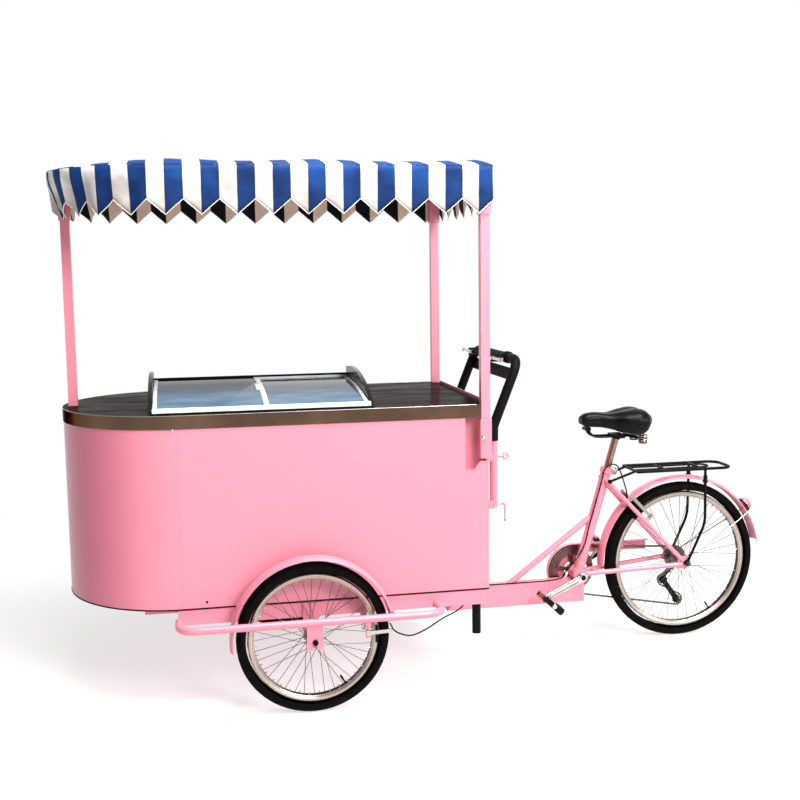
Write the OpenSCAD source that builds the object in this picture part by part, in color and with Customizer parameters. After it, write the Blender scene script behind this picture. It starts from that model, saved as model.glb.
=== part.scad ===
// Ice cream tricycle: a freezer cart that turns on a king pin, with a bicycle rear end.
// Millimetres. +X points to the rear wheel, +Y to the rider's right, +Z up, ground at z = 0.

/* [Wheels] */
// Front tyre outside diameter
front_wheel_d = 496; // [440:1:540]
// Rear tyre outside diameter
rear_wheel_d = 600; // [560:1:640]
// Tyre section width
tyre_w = 45; // [38:1:50]
// Front axle to rear axle
wheelbase = 1465; // [1420:1:1560]
// Distance between the front wheel planes
track = 870; // [866:1:920]
// Wheel axle diameter
axle_d = 10; // [9:0.5:12]
// Spokes in each wheel
spoke_count = 36; // [28:4:36]
// Spoke diameter
spoke_d = 2; // [1.8:0.1:2.2]

/* [Box] */
// Box width
box_w = 750; // [720:1:756]
// Straight length of the box, nose seam to rear face
box_straight = 1012; // [980:1:1060]
// Front axle to rear face of the box
box_back = 605; // [590:1:625]
// Counter top height
counter_z = 975; // [940:1:1010]
// Depth of the folded counter band
counter_band = 44; // [30:1:60]
// Sheet metal thickness
sheet = 2; // [1.5:0.1:3]

/* [Lid] */
// Length of the lid along the box
lid_len = 725; // [660:1:760]
// Lid end to the rear face of the box
lid_back = 376; // [350:1:400]
// Glass thickness
glass_t = 4; // [3:0.5:5]
// Height of the glass arch above the counter
lid_rise = 62; // [58:1:80]

/* [Canopy] */
// Canopy pole side
pole = 30; // [25:1:32]
// Canopy overhang outside the box
canopy_over = 17; // [12:1:30]
// Height of the canopy edge
canopy_z = 1748; // [1700:1:1850]
// Valance depth at the notches
valance_h = 103; // [70:1:130]
// Depth of the points below the notches
point_h = 47; // [30:1:60]
// Number of points around the valance
point_count = 37; // [30:1:40]
// Rise of the roof crown
crown = 44; // [30:1:60]

/* [Chassis] */
// Chassis rail height
rail_h = 47; // [40:1:50]
// Chassis rail width
rail_w = 30; // [25:1:35]
// Guard rail tube diameter
guard_d = 24; // [20:1:26]
// Half length of the guard rails
guard_half = 423; // [400:1:430]
// Drop leg diameter
leg_d = 30; // [25:1:32]
// Ground clearance of the raised drop leg
leg_clear = 173; // [150:1:190]

/* [Rear frame] */
// King pin distance ahead of the box rear face
pivot_in = 15; // [10:1:25]
// King pin diameter
king_d = 24; // [20:1:28]
// Main beam height
beam_h = 80; // [70:1:84]
// Main beam width
beam_w = 60; // [50:1:64]
// Rear axle to crank axle
stay_len = 412; // [405:1:430]
// Crank axle height
crank_z = 270; // [268:1:280]
// Seat tube diameter
seat_tube_d = 38; // [35:1:40]
// Seat post diameter
post_d = 27; // [25:0.2:28]

/* [Drive] */
// Crank length
crank_len = 162; // [150:1:170]
// Crank angle below the front horizontal
crank_a = 25; // [0:1:60]
// Chainring teeth
ring_teeth = 44; // [40:1:44]
// Driven cog teeth
cog_teeth = 18; // [16:1:20]
// Chain line from the centre
chain_y = 47; // [46:0.5:48]
// Chain pitch
pitch = 12.7; // [12.7:0.1:12.7]

/* [Handlebar] */
// Width between the handle legs
handle_w = 550; // [500:1:580]
// Height of the top bar
handle_z = 1108; // [1060:1:1150]
// Hoop tube diameter
hoop_d = 32; // [30:1:34]
// Brake lever length
lever_len = 105; // [90:1:110]

/* [Fits] */
// Seating gap between separate pieces
fit = 0.3; // [0.2:0.05:0.5]
// Radial running clearance of turning joints
run = 0.05; // [0.02:0.01:0.1]

/* [Hidden] */
$fn = 48;
fr = front_wheel_d / 2;
rr = rear_wheel_d / 2;
hw = box_w / 2;
rim_drop = tyre_w - 7;
fender_r = rr + 18;
fender_w = 56;
tail_a = 10;
rear_x = (wheelbase + box_straight - box_back + hw + canopy_over - (fender_r + 8) * cos(tail_a)) / 2;
front_x = rear_x - wheelbase;
box_rx = front_x + box_back;
nose_x = box_rx - box_straight;
wy = track / 2;
drop_t = 6;
half_old = 50;
rail_y = wy - half_old - drop_t;
floor_z = 345;
rail_z = floor_z - rail_h;
sheet_z = floor_z + 4;
guard_y = wy + half_old + drop_t / 2;
guard_z = fr + 63;
rail_x0 = front_x - guard_half - 2;
plate_top = counter_z - sheet;
pocket = 80;
pole_x = box_rx - 10;
pole_y = hw - 13;
front_pole_x = nose_x - hw + 33;
lid_x1 = box_rx - lid_back;
lid_x0 = lid_x1 - lid_len;
lid_y0 = 17 - hw;
lid_y1 = 185;
cap_t = 14;
arch_r = 2230;
arch_y = 90;
arch_z = counter_z + lid_rise;
pivot_x = box_rx - pivot_in;
beam_z1 = 248;
beam_z0 = beam_z1 - beam_h;
crank_x = rear_x - stay_len;
seat_u = [0.2753, 0, 0.9613];
seat_0 = [crank_x + 3, 0, crank_z - 6];
seat_1 = seat_0 + seat_u * 421;
stay_top = [crank_x + 133, 36, crank_z + 324];
stay_end = [rear_x - 13, 69, rr + 7];
brake_a = atan2(stay_top[2] - stay_end[2], stay_top[0] - stay_end[0]);
post_x = box_rx + 45;
post_y = handle_w / 2;
post_top = 858;
lean = 0.395;
bar_x = post_x + (handle_z - 885) * lean;
leg_x = box_rx - 25;
leg_y = 300;
old_r = 62;
ring_r = pitch / (2 * sin(180 / ring_teeth));
cog_r = pitch / (2 * sin(180 / cog_teeth));
jockey_r = pitch / (2 * sin(180 / 11));
link_h = 4.2;
tip_gap = link_h + 0.5;

// Helpers

function unit(v) = v / norm(v);
function turn(p, i) = acos(unit(p[i] - p[i - 1]) * unit(p[i + 1] - p[i]));
function cut(p, i, r) = r * tan(turn(p, i) / 2);

module ring2d(d, bore) {
    difference() {
        circle(d = d);
        if (bore > 0) circle(d = bore);
    }
}

module rod(p, q, d, bore = 0) {
    v = q - p;
    translate(p)
        rotate([0, acos(v[2] / norm(v)), atan2(v[1], v[0])])
            linear_extrude(norm(v)) ring2d(d, bore);
}

module slab(x0, x1, y0, y1, z0, z1) {
    translate([x0, y0, z0]) cube([x1 - x0, y1 - y0, z1 - z0]);
}

module both() {
    children();
    mirror([0, 1, 0]) children();
}

// A bent tube through the given points
module pipe(p, d, r, bore = 0) {
    n = len(p);
    for (i = [0:n - 2]) {
        u = unit(p[i + 1] - p[i]);
        a = i == 0 ? 0 : cut(p, i, r);
        b = i == n - 2 ? 0 : cut(p, i + 1, r);
        rod(p[i] + u * a, p[i + 1] - u * b, d, bore);
    }
    for (i = [1:n - 2]) {
        u = unit(p[i] - p[i - 1]);
        w = unit(cross(u, p[i + 1] - p[i]));
        v = cross(w, u);
        c = p[i] - u * cut(p, i, r) + v * r;
        multmatrix([[-v[0], u[0], w[0], c[0]], [-v[1], u[1], w[1], c[1]], [-v[2], u[2], w[2], c[2]]])
            rotate_extrude(angle = turn(p, i)) translate([r, 0]) ring2d(d, bore);
    }
}

// A closed surface through rings of points; wrapped rings make a loop
module skin(rings, wrapped = false) {
    n = len(rings[0]);
    m = len(rings);
    last = wrapped ? m - 1 : m - 2;
    walls = [for (k = [0:last], j = [0:n - 1]) let(a = k * n, b = ((k + 1) % m) * n, t = (j + 1) % n)
        each [[a + j, b + j, b + t], [a + j, b + t, a + t]]];
    caps = wrapped ? [] : [[for (j = [0:n - 1]) j], [for (j = [n - 1:-1:0]) (m - 1) * n + j]];
    polyhedron([for (g = rings) each g], concat(walls, caps), convexity = 8);
}

function spline(p, i, t) = let(
    n = len(p),
    a = p[max(i - 1, 0)], b = p[i], c = p[min(i + 1, n - 1)], d = p[min(i + 2, n - 1)])
    0.5 * (2 * b + (c - a) * t + (2 * a - 5 * b + 4 * c - d) * t * t + (3 * b - a - 3 * c + d) * t * t * t);
function smooth(p, k) = [for (i = [0:len(p) - 2], j = [0:k - 1]) spline(p, i, j / k), p[len(p) - 1]];
function loop8(c, t, d, up) = let(n = unit(cross(up, t)), b = cross(t, n))
    [for (a = [0:45:315]) c + d / 2 * (cos(a) * n + sin(a) * b)];

// A cable along a smooth curve through the points
module cable(p, d, up) {
    q = smooth(p, 4);
    n = len(q);
    skin([for (i = [0:n - 1]) loop8(q[i], unit(q[min(i + 1, n - 1)] - q[max(i - 1, 0)]), d, up)]);
}

// Points of a bent path, with k points on every bend of radius r
function bends(p, r, k) = [p[0], for (i = [1:len(p) - 2]) let(
    u = unit(p[i] - p[i - 1]), w = unit(cross(u, p[i + 1] - p[i])), v = cross(w, u), a = turn(p, i),
    c = p[i] - u * cut(p, i, r) + v * r)
    each [for (j = [0:k]) c + r * (sin(a * j / k) * u - cos(a * j / k) * v)], p[len(p) - 1]];
// A bent tube as one swept surface
module tube(p, d, r, up) {
    q = bends(p, r, 6);
    n = len(q);
    skin([for (i = [0:n - 1]) let(
        e = unit(q[min(i + 1, n - 1)] - q[max(i - 1, 0)]), a = unit(cross(up, e)), b = cross(e, a))
        [for (g = [0:22.5:337.5]) q[i] + d / 2 * (cos(g) * a + sin(g) * b)]]);
}

// Plan outline of the box, grown by d
module nose2d(d) {
    intersection() {
        translate([nose_x, 0]) circle(r = hw + d);
        translate([nose_x - 2 * hw, -2 * hw]) square([2 * hw, 4 * hw]);
    }
}
module outline(d, x1) {
    nose2d(d);
    translate([nose_x, -hw - d]) square([x1 - nose_x, 2 * (hw + d)]);
}

module spin() {
    rotate([-90, 0, 0]) rotate_extrude() children();
}
module front(side) {
    translate([front_x, side * wy, fr]) children();
}
module rear() {
    translate([rear_x, 0, rr]) children();
}

// Wheels

module tyre_ring(d) {
    c = d / 2 - tyre_w / 2;
    edge = d / 2 - rim_drop;
    spin() {
        intersection() {
            translate([c, 0]) ring2d(tyre_w, tyre_w - 10);
            translate([edge + fit, -tyre_w]) square([2 * tyre_w, 2 * tyre_w]);
        }
        translate([edge - 8.5, 8.2]) square([11, 3.5]);
        translate([edge - 8.5, -11.7]) square([11, 3.5]);
    }
}
module rim_ring(d) {
    e = d / 2 - rim_drop;
    spin() polygon([[e - 18, -9], [e - 8, -14], [e, -14], [e, -12], [e - 9, -12],
        [e - 9, 12], [e, 12], [e, 14], [e - 8, 14], [e - 18, 9]]);
}
// Hub shell between y0 and y1 with flanges at f0 and f1, laced to the rim
module laced_hub(d, y0, y1, f0, f1) {
    e = d / 2 - rim_drop - 15;
    b = axle_d / 2 + run;
    spin() polygon([[b, y0], [b + 8, y0], [b + 9, f0 - 3], [24, f0 - 2], [24, f0 + 2], [b + 8, f0 + 6],
        [b + 8, f1 - 6], [24, f1 - 2], [24, f1 + 2], [b + 9, f1 + 3], [b + 8, y1], [b, y1]]);
    for (k = [0:spoke_count - 1]) {
        s = k % 2 == 0 ? 1 : -1;
        g = floor(k / 2) % 2 == 0 ? 1 : -1;
        a = k * 360 / spoke_count;
        h = a + g * 62;
        rod([20 * cos(h), (s > 0 ? f1 : f0) + 2 * g, 20 * sin(h)],
            [e * cos(a), 2.5 * s + g, e * sin(a)], spoke_d);
    }
}
// Fender arc from angle a0 to a1 with a crowned section
module fender_arc(r, w, a0, a1) {
    h = w / 2;
    rotate([90, 0, 0]) rotate([0, 0, a0]) rotate_extrude(angle = a1 - a0)
        polygon([[r, -h], [r + 5, 8 - h], [r + 8, 20 - h], [r + 8, h - 20], [r + 5, h - 8], [r, h],
            [r - 2, h - 0.5], [r + 3, h - 9], [r + 6, h - 21], [r + 6, 21 - h], [r + 3, 9 - h], [r - 2, 0.5 - h]]);
}

module front_tyre(side) {
    color([0.06, 0.06, 0.06]) front(side) tyre_ring(front_wheel_d);
}
module front_rim(side) {
    color([0.75, 0.75, 0.76]) front(side) rim_ring(front_wheel_d);
}
module front_hub(side) {
    color([0.35, 0.35, 0.36]) front(side) laced_hub(front_wheel_d, -44, 44, -28, 28);
}
module rear_tyre() {
    color([0.06, 0.06, 0.06]) rear() tyre_ring(rear_wheel_d);
}
module rear_rim() {
    color([0.75, 0.75, 0.76]) rear() rim_ring(rear_wheel_d);
}
module rear_hub() {
    color([0.35, 0.35, 0.36]) rear() laced_hub(rear_wheel_d, -56, 30, -40, 24);
}
module front_axles() {
    o = half_old + drop_t;
    color([0.1, 0.1, 0.1]) both() front(-1) rotate([90, 0, 0]) {
        translate([0, 0, -o - 14]) cylinder(h = 2 * o + 28, d = axle_d);
        for (z = [-o - 10, o + fit]) translate([0, 0, z]) cylinder(h = 10 - fit, d = 19, $fn = 6);
        translate([0, 0, 44 + fit]) cylinder(h = half_old - 44 - 2 * fit, d = 20);
        translate([0, 0, -half_old + fit]) cylinder(h = half_old - 44 - 2 * fit, d = 20);
    }
}
module rear_axle() {
    o = old_r + drop_t;
    color([0.2, 0.2, 0.21]) rear() rotate([-90, 0, 0]) {
        translate([0, 0, -o - 32]) cylinder(h = 2 * o + 64, d = axle_d);
        for (z = [-o - 22 - fit, o + 13 + fit]) translate([0, 0, z]) cylinder(h = 9, d = 19, $fn = 6);
        translate([0, 0, -old_r + fit]) cylinder(h = old_r - 56 - 2 * fit, d = 20);
    }
}

// Cart body

module axle_slot() {
    rotate([90, 0, 0]) cylinder(h = 20, d = axle_d + 0.4, center = true);
    translate([-axle_d / 2 - 0.2, -10, -60]) cube([axle_d + 0.4, 20, 60]);
}
// Bracket and pin that carry one front brake arm, pin at y
module brake_post(y, y0, y1) {
    slab(front_x + 163, front_x + 181, y0, y1, 287, 304);
    translate([front_x + 172, y, 250]) cylinder(h = 40, d = 8);
    translate([front_x + 172, y, 247]) cylinder(h = 3.4, d = 13);
}
module chassis() {
    pink = [0.93, 0.62, 0.70];
    color(pink) difference() {
        union() {
            translate([0, 0, floor_z]) linear_extrude(3) outline(-sheet - fit, box_rx - sheet - fit);
            both() {
                slab(rail_x0, box_rx - 8, -rail_y, rail_w - rail_y, rail_z, floor_z);
                slab(front_x - 26, front_x + 26, -rail_y - drop_t, -rail_y, fr - 26, floor_z);
                slab(rail_x0 - 105, rail_x0 + 40, -300, -270, rail_z + 20, floor_z);
                translate([leg_x, -leg_y, rail_z]) cylinder(h = 172, d = leg_d + 8);
                brake_post(42 - wy, -rail_y - 18, -rail_y);
            }
            for (x = [rail_x0, front_x - 140, front_x + 150, box_rx - 40])
                slab(x, x + 32, -rail_y + 1, rail_y - 1, rail_z, floor_z);
            slab(rail_x0 - 105, rail_x0 - 75, -299, 299, rail_z + 20, floor_z);
            translate([pivot_x, 0, 256]) cylinder(h = floor_z - 256, d = 54);
        }
        both() {
            translate([front_x, -rail_y - drop_t / 2, fr]) axle_slot();
            translate([leg_x, -leg_y, 0]) cylinder(h = 600, d = leg_d + 2 * fit);
        }
        translate([pivot_x, 0, 200]) cylinder(h = 200, d = king_d + 2 * run);
        translate([pivot_x, 0, floor_z - 1]) cylinder(h = 10, d = 46);
    }
}
module nose_sheet() {
    color([0.95, 0.66, 0.74]) translate([0, 0, sheet_z]) linear_extrude(plate_top - fit - sheet_z)
        difference() {
            nose2d(0);
            translate([nose_x, 0]) circle(r = hw - sheet);
        }
}
module side_panels() {
    x = box_rx;
    color([0.95, 0.66, 0.74]) both() difference() {
        slab(nose_x, x, -hw, sheet - hw, sheet_z, plate_top - fit);
        translate([0, 0.1 - hw + sheet, 0]) rotate([90, 0, 0]) linear_extrude(sheet + 1)
            polygon([[x - pocket, 753], [x - 52, 753], [x - 30, 785], [x + 1, 785], [x + 1, 1100], [x - pocket, 1100]]);
    }
}
module rear_panel() {
    x = box_rx;
    t = sheet;
    y = hw - t - fit;
    w = hw - 52;
    sleeve = pole + 8;
    color([0.93, 0.62, 0.70]) difference() {
        union() {
            slab(x - t, x, -y, y, sheet_z, 785);
            slab(x - t, x, -w, w, 780, counter_z + 10);
            both() {
                slab(x - pocket - t, x, -w - t, -w, 751, plate_top - fit);
                slab(x - pocket - t, x - pocket, -y, -w, 751, plate_top - fit);
                slab(x - pocket - t, x - t, -y, -w, 751, 753);
                slab(pole_x - sleeve / 2, pole_x + sleeve / 2, -pole_y - sleeve / 2, sleeve / 2 - pole_y, 795, 926);
                slab(pole_x - 12, pole_x + 8, -pole_y + 10, -w - t / 2, 830, 890);
            }
        }
        both() slab(pole_x - pole / 2 - fit, pole_x + pole / 2 + fit,
            -pole_y - pole / 2 - fit, pole / 2 + fit - pole_y, 798, 1000);
        for (i = [0:7], s = [-1, 1])
            slab(x - 9, x + 9, s * 90 - 65, s * 90 + 65, 420 + i * 22, 428 + i * 22);
        slab(x - 9, x + 9, -18, 18, sheet_z - 1, floor_z + 15);
    }
}
module counter_top() {
    x = box_rx - sheet - fit;
    color([0.42, 0.36, 0.34]) difference() {
        union() {
            translate([0, 0, plate_top]) linear_extrude(sheet) outline(fit + sheet, x);
            translate([0, 0, counter_z - counter_band]) linear_extrude(counter_band - 0.5)
                difference() {
                    outline(fit + sheet, pole_x - pole / 2 - 2);
                    outline(fit, x + 10);
                }
        }
        slab(lid_x0 + 30, lid_x1 - 30, lid_y0 + 40, lid_y1 - 30, 900, 1000);
        both() slab(pole_x - pole / 2 - 1.5, x + 5, -hw - 5, pole / 2 + 1.5 - pole_y, 900, 1000);
        slab(front_pole_x - pole / 2 - 0.5, front_pole_x + pole / 2 + 0.5, -pole / 2 - 0.5, pole / 2 + 0.5, 900, 1000);
    }
}
module tub(m, z0, z1, t) {
    difference() {
        slab(lid_x0 + 30 - m, lid_x1 - 30 + m, lid_y0 + 40 - m, lid_y1 - 30 + m, z0, z1);
        slab(lid_x0 + 30 - m + t, lid_x1 - 30 + m - t, lid_y0 + 40 - m + t, lid_y1 - 30 + m - t, z0 + t, z1 + 1);
    }
}
module freezer_liner() {
    color([0.90, 0.92, 0.93]) {
        tub(0, 480, plate_top - fit, 2);
        difference() {
            slab(lid_x0 + 8, lid_x1 - 8, lid_y0 + 20, lid_y1 - 8, plate_top - 2 - fit, plate_top - fit);
            slab(lid_x0 + 31, lid_x1 - 31, lid_y0 + 41, lid_y1 - 31, 900, 1000);
        }
    }
}
module freezer_casing() {
    color([0.72, 0.74, 0.76]) {
        tub(17, 430, plate_top - 2 - 2 * fit, 1.2);
        for (x = [lid_x0 + 60, lid_x1 - 100], y = [-270, lid_y1 - 95])
            slab(x, x + 40, y, y + 40, floor_z + 3 + fit, 431);
    }
}
module cooling_unit() {
    z = floor_z + 3 + fit;
    x = box_rx - 215;
    color([0.12, 0.12, 0.13]) {
        slab(x - 110, x + 110, 60, 250, z, z + 4);
        translate([x, 155, z + 4]) cylinder(h = 120, d = 150);
        translate([x, 155, z + 123]) cylinder(h = 35, d1 = 150, d2 = 90);
        translate([x + 75, 155, z + 4]) cylinder(h = 150, d = 24);
        slab(x + 104, x + 150, -20, 260, z + 3, z + 250);
        slab(x + 100, x + 110, 60, 250, z, z + 30);
    }
}
module battery() {
    z = floor_z + 3 + fit;
    x = box_rx - 230;
    color([0.15, 0.17, 0.2]) {
        slab(x - 90, x + 90, -260, -60, z, z + 200);
        for (y = [-230, -110]) translate([x, y, z + 199]) cylinder(h = 16, d = 18);
    }
}

// Lid

function arch(y, d) = arch_z - arch_r + sqrt(pow(arch_r - d, 2) - pow(y - arch_y, 2));
module along(x0, x1) {
    translate([x0, 0, 0]) rotate([90, 0, 90]) linear_extrude(x1 - x0) children();
}
// Section of a curved sheet, its outer face d below the arch
module arch2d(d, t, y0, y1) {
    intersection() {
        translate([arch_y, arch_z - arch_r]) difference() {
            circle(r = arch_r - d, $fn = 200);
            circle(r = arch_r - d - t, $fn = 200);
        }
        translate([y0, counter_z]) square([y1 - y0, 200]);
    }
}
lid_mid = (lid_x0 + lid_x1) / 2;
pane_y0 = lid_y0 + 9;
pane_y1 = lid_y1 - 13;
module pane(x0, x1, d) {
    color([0.80, 0.90, 0.92, 0.4]) along(x0, x1) arch2d(d, glass_t, pane_y0, pane_y1);
}
module pane_trim(x0, x1, x2, d, s) {
    color([0.93, 0.93, 0.92]) {
        along(x0, x1) arch2d(d - 1, glass_t + 2, pane_y0, pane_y1);
        along(s > 0 ? x1 - 4 : x0 - 10, s > 0 ? x1 + 10 : x0 + 4) arch2d(d - 1, 1, -150, -40);
    }
}
module glass_left() {
    pane(lid_x0 + cap_t + 2, lid_mid + 4, 1);
}
module trim_left() {
    pane_trim(lid_mid + 4, lid_mid + 20, 0, 1, -1);
}
module glass_right() {
    pane(lid_mid - 4, lid_x1 - cap_t - 2, glass_t + 4.5);
}
module trim_right() {
    pane_trim(lid_mid - 20, lid_mid - 4, 0, glass_t + 4.5, 1);
}
module lid_frame() {
    low = 2 * glass_t + 7;
    y = lid_y0;
    z = counter_z + fit;
    color([0.93, 0.93, 0.92]) {
        along(lid_x0 + cap_t + fit, lid_x1 - cap_t - fit) {
            polygon([[y, z], [y + 34, z], [y + 34, arch(y + 34, low)], [y + 8.5, arch(y + 8.5, low)],
                [y + 8.5, arch(y, 0) + 4], [y, arch(y, 0) - 2]]);
            polygon([[lid_y1, z], [lid_y1, arch(lid_y1, 0) + 5], [lid_y1 - 12.5, arch(lid_y1, 0) + 5],
                [lid_y1 - 12.5, arch(lid_y1 - 12, low)], [lid_y1 - 30, arch(lid_y1 - 30, low)], [lid_y1 - 30, z]]);
        }
        for (x = [lid_x0 + cap_t + fit, lid_x1 - cap_t - fit - 14]) along(x, x + 14)
            polygon([[y + 33, z], [lid_y1 - 29, z], for (k = [10:-1:0])
                let(w = y + 33 + (lid_y1 - y - 62) * k / 10) [w, arch(w, low)]]);
    }
}
module lid_end_caps() {
    c = [62, counter_z + 97 - 950];
    color([0.36, 0.42, 0.38]) for (x = [lid_x0, lid_x1 - cap_t]) along(x, x + cap_t)
        intersection() {
            translate(c) circle(r = 950, $fn = 256);
            translate([lid_y0 - 5, counter_z + fit]) square([lid_y1 + 5 - lid_y0, 150]);
        }
}

// Canopy

module canopy_poles() {
    p = pole / 2;
    color([0.95, 0.66, 0.74]) {
        both() slab(pole_x - p, pole_x + p, -pole_y - p, p - pole_y, 798 + fit, canopy_z - 40);
        slab(front_pole_x - p, front_pole_x + p, -p, p, 880, canopy_z - 40);
        slab(nose_x - hw + sheet + 0.7, front_pole_x, -p, p, 885, 925);
    }
}
module socket(x, y) {
    o = pole / 2 + 4;
    i = pole / 2 + fit;
    z = canopy_z - 153;
    difference() {
        slab(x - o, x + o, y - o, y + o, z, canopy_z - 14);
        slab(x - i, x + i, y - i, y + i, z - 1, canopy_z - 39);
    }
}
canopy_rx = box_rx + 12;
roof_h = hw + canopy_over;
module canopy_frame() {
    z = canopy_z - 35;
    color([0.93, 0.62, 0.70]) {
        translate([0, 0, z]) linear_extrude(22) difference() {
            outline(canopy_over - 8, canopy_rx - 3);
            outline(canopy_over - 30, canopy_rx - 25);
        }
        for (x = [nose_x, nose_x + 460]) slab(x, x + 22, 1 - hw, hw - 1, z, z + 22);
        slab(front_pole_x, canopy_rx - 10, -10, 10, z + 1, z + 21);
        for (x = [nose_x + 11, nose_x + 471]) {
            rod([x, 0, z + 10], [x, 0, canopy_z + crown - 12], 14);
            both() rod([x, 10 - hw, z + 16], [x, 0, canopy_z + crown - 19], 12);
        }
        both() socket(pole_x, -pole_y);
        socket(front_pole_x, 0);
    }
}
side_l = canopy_rx - nose_x;
// Point and outward normal on the canopy edge, s along it from the left rear corner
function edge(s) = let(a = 270 - (s - side_l) / roof_h * 180 / PI)
    s < side_l ? [canopy_rx - s, -roof_h, 0, -1]
    : s < side_l + PI * roof_h ? [nose_x + roof_h * cos(a), roof_h * sin(a), cos(a), sin(a)]
    : s < 2 * side_l + PI * roof_h ? [nose_x + s - side_l - PI * roof_h, roof_h, 0, 1]
    : [canopy_rx, roof_h - (s - 2 * side_l - PI * roof_h), 1, 0];
edge_l = 2 * side_l + PI * roof_h + 2 * roof_h;
roof_r = (roof_h * roof_h + crown * crown) / (2 * crown);
// Half or whole section of the roof cloth, o thicker on both faces
module roof2d(y0, y1, o) {
    intersection() {
        translate([0, canopy_z + crown - roof_r]) difference() {
            circle(r = roof_r + o, $fn = 256);
            circle(r = roof_r - 2 - o, $fn = 256);
        }
        translate([y0, canopy_z - 1.7]) square([y1 - y0, 200]);
    }
}
module canopy_roof() {
    e = roof_h - 0.5;
    color([0.62, 0.74, 0.90]) {
        along(nose_x + 2, canopy_rx) roof2d(-e, e, 0);
        along(nose_x - 6, nose_x + 6) roof2d(-e, e, 0.6);
        difference() {
            translate([nose_x, 0, 0]) rotate_extrude($fn = 128) roof2d(0, e, 0);
            slab(nose_x - 2, nose_x + 500, -500, 500, 1600, 1900);
        }
        along(canopy_rx - 3, canopy_rx) intersection() {
            translate([0, canopy_z + crown - roof_r]) circle(r = roof_r - 1, $fn = 256);
            translate([-e, canopy_z - 1.7]) square([2 * e, 200]);
        }
    }
}
valance_top = canopy_z - 2 - fit;
// Valance point: offset outwards o, on column i of n
function hang(i, n, o, z) = let(e = edge((edge_l * i / n + 101) % edge_l)) [e[0] + e[2] * o, e[1] + e[3] * o, z];
module canopy_valance() {
    n = point_count * 6;
    top = [for (i = [0:n - 1]) valance_top];
    low = [for (i = [0:n - 1]) canopy_z - valance_h - point_h * (1 - abs(2 * (i % 6) / 6 - 1))];
    wave = [for (i = [0:n - 1]) let(e = edge((edge_l * i / n + 101) % edge_l))
        (e[2] > 0.99 && e[0] > 0 ? 4 : -4.5) + 3.5 * sin(360 * i / 17) * sin(360 * i / 6.5)];
    color([0.30, 0.48, 0.80]) skin([
        [for (i = [0:n - 1]) hang(i, n, 0, top[i])],
        [for (i = [0:n - 1]) hang(i, n, wave[i], low[i])],
        [for (i = [0:n - 1]) hang(i, n, wave[i] - 1.8, low[i])],
        [for (i = [0:n - 1]) hang(i, n, -1.8, top[i])]], true);
}

// Running gear of the cart

module guard_rails() {
    x = front_x;
    y = guard_y;
    h = guard_half;
    color([0.95, 0.66, 0.74]) both() difference() {
        union() {
            tube([[x - h, -rail_y, guard_z], [x - h, -y, guard_z], [x + h, -y, guard_z],
                [x + h, -rail_y, guard_z]], guard_d, 60, [0, 0, 1]);
            slab(x - 26, x + 26, -y - drop_t / 2, drop_t / 2 - y, fr - 26, guard_z);
            brake_post(-wy - 42, -y - 2, -y + 16);
        }
        translate([x, -y, fr]) axle_slot();
    }
}
module front_fenders() {
    r = fr + 12;
    tab = [for (s = [-1, 1]) front_x + s * sqrt(pow(r + 2, 2) - pow(guard_z - fr, 2))];
    color([0.95, 0.66, 0.74]) both() {
        front(-1) fender_arc(r, 64, 10, 186);
        for (x = tab) slab(x - 8, x + 8, -guard_y + guard_d / 2 + fit, -wy - 29, guard_z - 8, guard_z + 9);
    }
}
module front_cables() {
    x = front_x;
    y = wy;
    r = fr + 10;
    color([0.1, 0.1, 0.1]) both() cable([[x + r, 34 - y, fr + 14], [x + r, -y, fr + 14], [x + r, -y - 38, fr + 14],
        [x + r + 20, -y - 50, fr + 4], [x + r + 62, -y - 20, fr - 14], [x + 375, -y + 12, 240], [x + 440, -y + 45, 262],
        [x + 500, -rail_y + 12, 280], [x + 540, -rail_y + 42, 305], [x + 550, -rail_y + 48, floor_z - 1]], 5, [0, 0, 1]);
}
// Brake arm in wheel axes: x radial, y across the wheel, z along the pin
module v_arm(side, r0, y0, rp, r1, y1, lift) {
    n = r1 - r0;
    yp = y0 + (y1 - y0) * (rp - r0) / n;
    color([0.25, 0.25, 0.26]) difference() {
        union() {
            translate([r0, side * y0, -9]) cylinder(h = 18, d = 16);
            translate([r0, side * y0, -6]) rotate([0, 0, atan2(side * (y1 - y0), n)])
                translate([0, -4, 0]) cube([sqrt(n * n + pow(y1 - y0, 2)), 8, 12]);
            rod([rp, side * yp, 0], [rp, side * 25, 0], 7);
            translate([rp - 5, side * 21.5 - 5, -26 - lift]) cube([7, 10, 52]);
        }
        translate([r0, side * y0, -20]) cylinder(h = 40, d = 8 + 2 * run);
    }
}
module front_arm(side, out) {
    e = fr - rim_drop - 5;
    translate([0, 0, 13]) front(side) v_arm(side * out, fr - 76, 42, e, fr + 4, 34, 13);
}
module drop_leg(s) {
    color([0.06, 0.06, 0.07]) translate([leg_x, s * leg_y, leg_clear]) cylinder(h = 330, d = leg_d);
}

// Handlebar

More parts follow.
